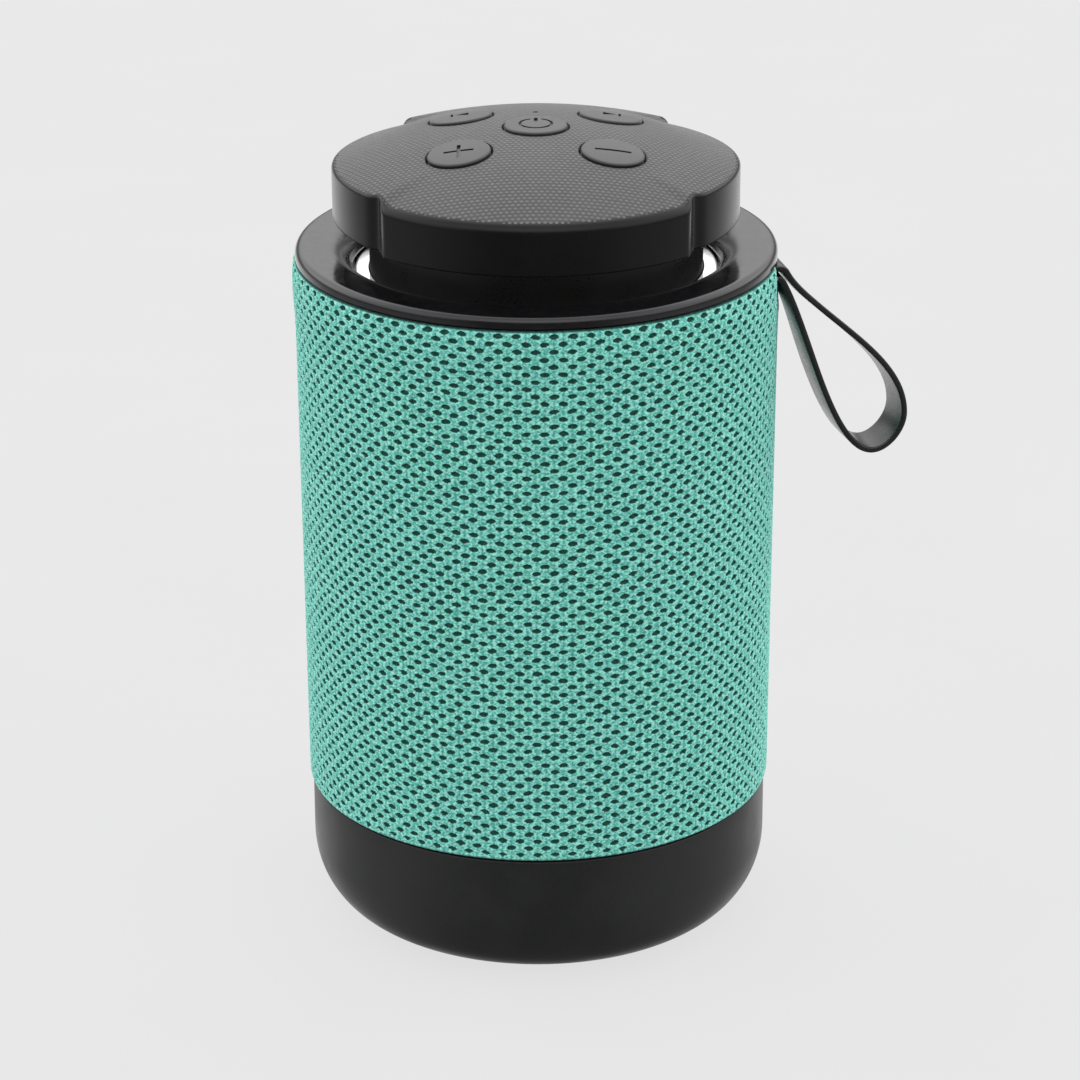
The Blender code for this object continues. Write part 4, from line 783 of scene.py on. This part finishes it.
def knit_sleeve():
    per = 6
    cols = HOLES_ROUND * 2 * per
    angles = np.arange(cols) * 2 * math.pi / cols + KNIT_PHASE / 39.0
    first = FAB_Z0 + 1.07
    count = int((113.9 - first) / ROW) + 1
    rows = [first + (k + d) * ROW for k in range(count) for d in (0.0, 0.19, 0.335, 0.5, 0.665, 0.81)]
    rows = [r for r in rows if r < 113.25]
    z = np.array([FAB_Z0, FAB_Z0 + 0.16, FAB_Z0 + 0.36, FAB_Z0 + 0.55] + rows + [113.3, 113.42, 113.5, FAB_Z1])
    z = z[np.concatenate([[True], np.diff(z) > 0.02])]
    A, Z = np.meshgrid(angles, z)
    f, groove, lean, pitch = knit_fields(A, Z, first, count)
    f = np.minimum(f, 3.0)
    pit = np.clip((1.12 - f) / (1.12 - 0.62), 0, 1)
    pit = pit * pit * (3 - 2 * pit)
    lip = np.exp(-((f - 1.35) / 0.35) ** 2)
    groove = groove * np.clip((f - 1.1) / 0.5, 0, 1)
    # the strap presses a shallow dent into the knit beside its root
    away = (A - TURN + math.asin(-STRAP_OFF / 39.0) + math.pi) % (2 * math.pi) - math.pi
    dent = 0.62 * np.clip(1.25 - np.abs(away * 39.0) / 5.2, 0, 1) ** 1.0 * np.clip((Z - 105.2) / 3.6, 0, 1)
    R = sleeve_radius(Z) - HOLE_DEPTH * pit + 0.05 * lip - 0.06 * groove - np.minimum(dent, 0.62)
    R = np.maximum(R, 38.05)
    verts_out = np.stack([R * np.cos(A), R * np.sin(A), Z], -1).reshape(-1, 3)
    nz = len(z)
    # inner wall and the two edges
    notch_row = int(np.argmin(np.abs(z - NOTCH_Z)))
    inner_z = np.array([z[-1], z[notch_row], z[0]])
    IA, IZ = np.meshgrid(angles, inner_z)
    verts_in = np.stack([37.95 * np.cos(IA), 37.95 * np.sin(IA), IZ], -1).reshape(-1, 3)
    verts = np.concatenate([verts_out, verts_in])
    idx = np.arange(nz * cols).reshape(nz, cols)
    inn = nz * cols + np.arange(3 * cols).reshape(3, cols)
    nxt = np.roll(np.arange(cols), -1)
    # columns of the strap notch
    px, py = 39.0 * np.cos(angles), 39.0 * np.sin(angles)
    s = px * ER.x + py * ER.y
    tt = px * ET.x + py * ET.y - STRAP_OFF
    is_in = (s > 20) & (np.abs(tt) < NOTCH_HALF)
    cell_in = is_in & is_in[nxt]
    quads = []
    low, high = np.arange(notch_row), np.arange(notch_row, nz - 1)

    def grid(i, j):
        I, J = np.meshgrid(i, j, indexing="ij")
        return np.stack([idx[I, J], idx[I, nxt[J]], idx[I + 1, nxt[J]], idx[I + 1, J]], -1).reshape(-1, 4)

    every = np.arange(cols)
    open_j = every[~cell_in]
    quads.append(grid(low, every))
    quads.append(grid(high, open_j))
    q_top = np.stack([idx[nz - 1, open_j], idx[nz - 1, nxt[open_j]], inn[0, nxt[open_j]], inn[0, open_j]], -1)
    q_in_high = np.stack([inn[0, open_j], inn[0, nxt[open_j]], inn[1, nxt[open_j]], inn[1, open_j]], -1)
    q_in_low = np.stack([inn[1, every], inn[1, nxt[every]], inn[2, nxt[every]], inn[2, every]], -1)
    q_bottom = np.stack([inn[2, every], inn[2, nxt[every]], idx[0, nxt[every]], idx[0, every]], -1)
    shut_j = every[cell_in]
    q_sill = np.stack([idx[notch_row, shut_j], idx[notch_row, nxt[shut_j]], inn[1, nxt[shut_j]], inn[1, shut_j]], -1)
    quads += [q_top, q_in_high, q_in_low, q_bottom, q_sill]
    faces = np.concatenate(quads)
    walls = []
    a = int(shut_j[0])
    b = int(nxt[shut_j[-1]])
    # shut_j is contiguous unless it wraps past angle 0
    if np.any(np.diff(shut_j) > 1):
        gap = int(np.argmax(np.diff(shut_j)))
        a, b = int(shut_j[gap + 1]), int(nxt[shut_j[gap]])
    column = list(range(notch_row, nz))
    walls.append([int(idx[i, a]) for i in column] + [int(inn[0, a]), int(inn[1, a])])
    walls.append(list(reversed([int(idx[i, b]) for i in column] + [int(inn[0, b]), int(inn[1, b])])))
    me = bpy.data.meshes.new("knit_sleeve")
    loops = np.concatenate([faces.reshape(-1), np.concatenate([np.array(w) for w in walls])])
    totals = np.concatenate([np.full(len(faces), 4), np.array([len(w) for w in walls])])
    starts = np.concatenate([[0], np.cumsum(totals)[:-1]])
    used = np.zeros(len(verts), bool)
    used[loops] = True
    remap = np.cumsum(used) - 1
    verts_kept, loops = verts[used], remap[loops]
    me.vertices.add(len(verts_kept))
    me.vertices.foreach_set("co", (verts_kept * MM).astype(np.float32).ravel())
    me.loops.add(len(loops))
    me.loops.foreach_set("vertex_index", loops.astype(np.int32))
    me.polygons.add(len(totals))
    me.polygons.foreach_set("loop_start", starts.astype(np.int32))
    me.update(calc_edges=True)
    me.validate()
    for attr, grid_values, fill in (("hole", f, 3.0), ("groove", groove, 0.0), ("lean", lean, 0.5)):
        values = np.concatenate([grid_values.reshape(-1), np.full(3 * cols, fill)])[used].astype(np.float32)
        me.attributes.new(attr, "FLOAT", "POINT").data.foreach_set("value", values)
    ob = bpy.data.objects.new("knit_sleeve", me)
    VISUAL.objects.link(ob)
    me.materials.append(fabric_mat)
    me.shade_smooth()
    return ob


sleeve = knit_sleeve()
stands_for(sleeve, "body", "mesh_fabric", "fabric_sleeve")


# ------------------------------------------------------------------ wrist strap
def bezier(a, b, c, d, n):
    out = []
    for i in range(n):
        t = i / n
        out.append(tuple((1 - t) ** 3 * a[k] + 3 * (1 - t) ** 2 * t * b[k] + 3 * (1 - t) * t * t * c[k] + t ** 3 * d[k] for k in (0, 1)))
    return out


def strap_path(n=72):
    """Centreline in (outward, up): from under the ring, down the upper arm, round the bottom bend and back up."""
    a, b, c, e = (37.6, 112.2), (58.3, 86.0), (53.1, 80.1), (37.6, 109.5)
    p = bezier((35.0, 112.6), (35.9, 112.9), (37.15, 113.0), a, 14)
    p += bezier(a, (41.5, 104.5), (b[0], b[1] + 10.3), b, n)
    p += bezier(b, (b[0], b[1] - 2.9), (c[0] + 2.5, c[1]), c, n // 2)
    p += bezier(c, (c[0] - 7.1, c[1]), (41.4, 101.9), e, n)
    return p + bezier(e, (37.2, 110.35), (36.9, 111.1), (36.2, 111.1), 14) + [(36.2, 111.1)]


def strap_place(s, z, t):
    """The band leaves the ring on its socket's line and turns three degrees further as it hangs."""
    k = min(1.0, max(0.0, (s - 38.0) / 5.0))
    a = TURN + math.radians(3.0) * k * k * (3 - 2 * k)
    er, et = Vector((math.cos(a), math.sin(a), 0)), Vector((-math.sin(a), math.cos(a), 0))
    return ER * 38.0 + ET * STRAP_OFF + er * (s - 38.0) + et * t + EZ * z


def strap_mesh():
    path = strap_path()
    hw, ht, rad, k = STRAP_W / 2, STRAP_T / 2, 0.30, 5
    section = []
    for cx, cy, a0 in ((ht - rad, hw - rad, 0), (-(ht - rad), hw - rad, 90), (-(ht - rad), -(hw - rad), 180), (ht - rad, -(hw - rad), 270)):
        for i in range(k + 1):
            a = math.radians(a0 + 90 * i / k)
            section.append((cx + rad * math.cos(a), cy + rad * math.sin(a)))
    m = len(section)
    verts, faces = [], []
    for i, (s, z) in enumerate(path):
        p, q = path[max(i - 1, 0)], path[min(i + 1, len(path) - 1)]
        ts, tz = q[0] - p[0], q[1] - p[1]
        d = math.hypot(ts, tz)
        ns, nz = -tz / d, ts / d
        # the upper arm rolls a few degrees about its own line, far edge down
        k = min(1.0, max(0.0, (s - 37.0) / 5.0)) * min(1.0, max(0.0, (z - 88.0) / 8.0)) * (1.0 if ts > 0 else 0.0)
        roll = math.radians(1.5) * k
        for a, b in section:
            a, b = a * math.cos(roll) - b * math.sin(roll), a * math.sin(roll) + b * math.cos(roll)
            verts.append(tuple(strap_place(s + ns * a, z + nz * a, b)))
    for i in range(len(path) - 1):
        for j in range(m):
            j2 = (j + 1) % m
            faces.append((i * m + j, i * m + j2, (i + 1) * m + j2, (i + 1) * m + j))
    faces.append(tuple(reversed(range(m))))
    faces.append(tuple((len(path) - 1) * m + j for j in range(m)))
    ob = piece("wrist_strap", verts, faces, strap_mat)
    bm = bmesh.new()
    bm.from_mesh(ob.data)
    bmesh.ops.recalc_face_normals(bm, faces=bm.faces)
    bm.to_mesh(ob.data)
    bm.free()
    return ob


strap = strap_mesh()
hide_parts("strap_loop")
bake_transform(strap)

anchor = block("strap_socket", (34.5, -3.8, 109.0), (38.4, 3.8, 113.3), POCKET, strap_mat)
rounded = turned("socket_round", [(37.7, 116.0), (37.7, 106.0), (20.0, 106.0), (20.0, 116.0)], 256)
shaped(anchor, "INTERSECT", rounded,
       "DIFFERENCE", block("socket_slot", (34.2, -3.95, 110.75), (39.5, 3.95, 113.5), POCKET),
       "DIFFERENCE", peg("socket_bore", ER * 35.6 + EZ * 111.3 + ET * (STRAP_OFF - 8), ET, [(0.75, 16), (0.75, 0)], 40))
stands_for(anchor, "body", "strap_rubber", "strap_anchor")


# ------------------------------------------------------------------ floor and light
def make_floor():
    bm = bmesh.new()
    bmesh.ops.create_grid(bm, x_segments=24, y_segments=24, size=3.0)
    me = bpy.data.meshes.new("studio_floor")
    bm.to_mesh(me)
    bm.free()
    floor = bpy.data.objects.new("studio_floor", me)
    SCENE.collection.objects.link(floor)
    s = Shader("studio_paper")
    n = s.noise(0.02, 3.0)
    tone = s.mix(s.step(n, 0.3, 0.7), (FLOOR_TONE, FLOOR_TONE, FLOOR_TONE), (FLOOR_TONE * 1.01, FLOOR_TONE * 1.01, FLOOR_TONE * 1.01))
    paper = s.tree.nodes.new("ShaderNodeBsdfDiffuse")
    s.link(tone, paper.inputs["Color"])
    lit = s.tree.nodes.new("ShaderNodeEmission")
    s.link(s.mix(s.step(n, 0.3, 0.7), (1.0, 1.0, 1.0), (0.99, 0.99, 0.99)), lit.inputs["Color"])
    lit.inputs["Strength"].default_value = FLOOR_GLOW
    both = s.tree.nodes.new("ShaderNodeAddShader")
    s.link(paper.outputs[0], both.inputs[0])
    s.link(lit.outputs[0], both.inputs[1])
    out = next(k for k in s.tree.nodes if k.type == "OUTPUT_MATERIAL")
    s.tree.links.new(both.outputs[0], out.inputs["Surface"])
    me.materials.append(s.mat)
    floor.visible_glossy = False
    return floor


FLOOR_GLOW, FLOOR_TONE = 0.72, 0.06
make_floor()


def make_world():
    """Large soft sources: bright behind and to both sides, a softer one overhead and in front."""
    world = bpy.data.worlds.new("studio_world")
    SCENE.world = world
    world.use_nodes = True
    tree = world.node_tree
    tree.nodes.clear()
    out = tree.nodes.new("ShaderNodeOutputWorld")
    back = tree.nodes.new("ShaderNodeBackground")
    tree.links.new(back.outputs[0], out.inputs[0])
    coord = tree.nodes.new("ShaderNodeTexCoord")
    sep = tree.nodes.new("ShaderNodeSeparateXYZ")
    tree.links.new(coord.outputs["Generated"], sep.inputs[0])

    def ramp(socket, lo, hi, a, b):
        n = tree.nodes.new("ShaderNodeMapRange")
        n.interpolation_type = "SMOOTHSTEP"
        tree.links.new(socket, n.inputs[0])
        for value, slot in zip((lo, hi, a, b), n.inputs[1:5]):
            slot.default_value = value
        return n.outputs[0]

    def op(kind, a, b=None):
        n = tree.nodes.new("ShaderNodeMath")
        n.operation = kind
        for value, slot in zip((a, b), n.inputs):
            if isinstance(value, bpy.types.NodeSocket):
                tree.links.new(value, slot)
            elif value is not None:
                slot.default_value = value
        return n.outputs[0]

    x, y, z = sep.outputs[0], sep.outputs[1], sep.outputs[2]
    side = op("ABSOLUTE", x)
    upper = op("ADD", ramp(y, -0.15, 0.7, 0.0, 1.25), ramp(side, 0.4, 0.92, 0.0, 1.42))
    upper = op("MULTIPLY", upper, ramp(z, 0.12, 0.34, 0.14, 1.0))
    front = op("MULTIPLY", ramp(y, -0.2, -0.75, 0.0, 1.0), ramp(z, 0.38, 0.62, 0.0, 0.9))
    upper = op("ADD", op("ADD", upper, front), ramp(z, 0.30, 0.95, 0.0, 1.15))
    upper = op("ADD", upper, 0.16)
    lower = op("ADD", ramp(y, 0.35, 0.90, 0.0, 1.0), ramp(side, 0.3, 0.9, 0.15, 0.56))
    below = ramp(z, 0.02, -0.12, 0.0, 1.0)
    total = op("ADD", op("MULTIPLY", upper, op("SUBTRACT", 1.0, below)), op("MULTIPLY", lower, below))
    tree.links.new(total, back.inputs["Strength"])
    back.inputs["Color"].default_value = (1.0, 1.0, 1.0, 1.0)


make_world()
SCENE.view_settings.view_transform = "Standard"
SCENE.view_settings.look = "None"
SCENE.view_settings.exposure = 0.0
SCENE.view_settings.gamma = 1.0

for tool in list(TOOLS.objects):
    bpy.data.objects.remove(tool, do_unlink=True)
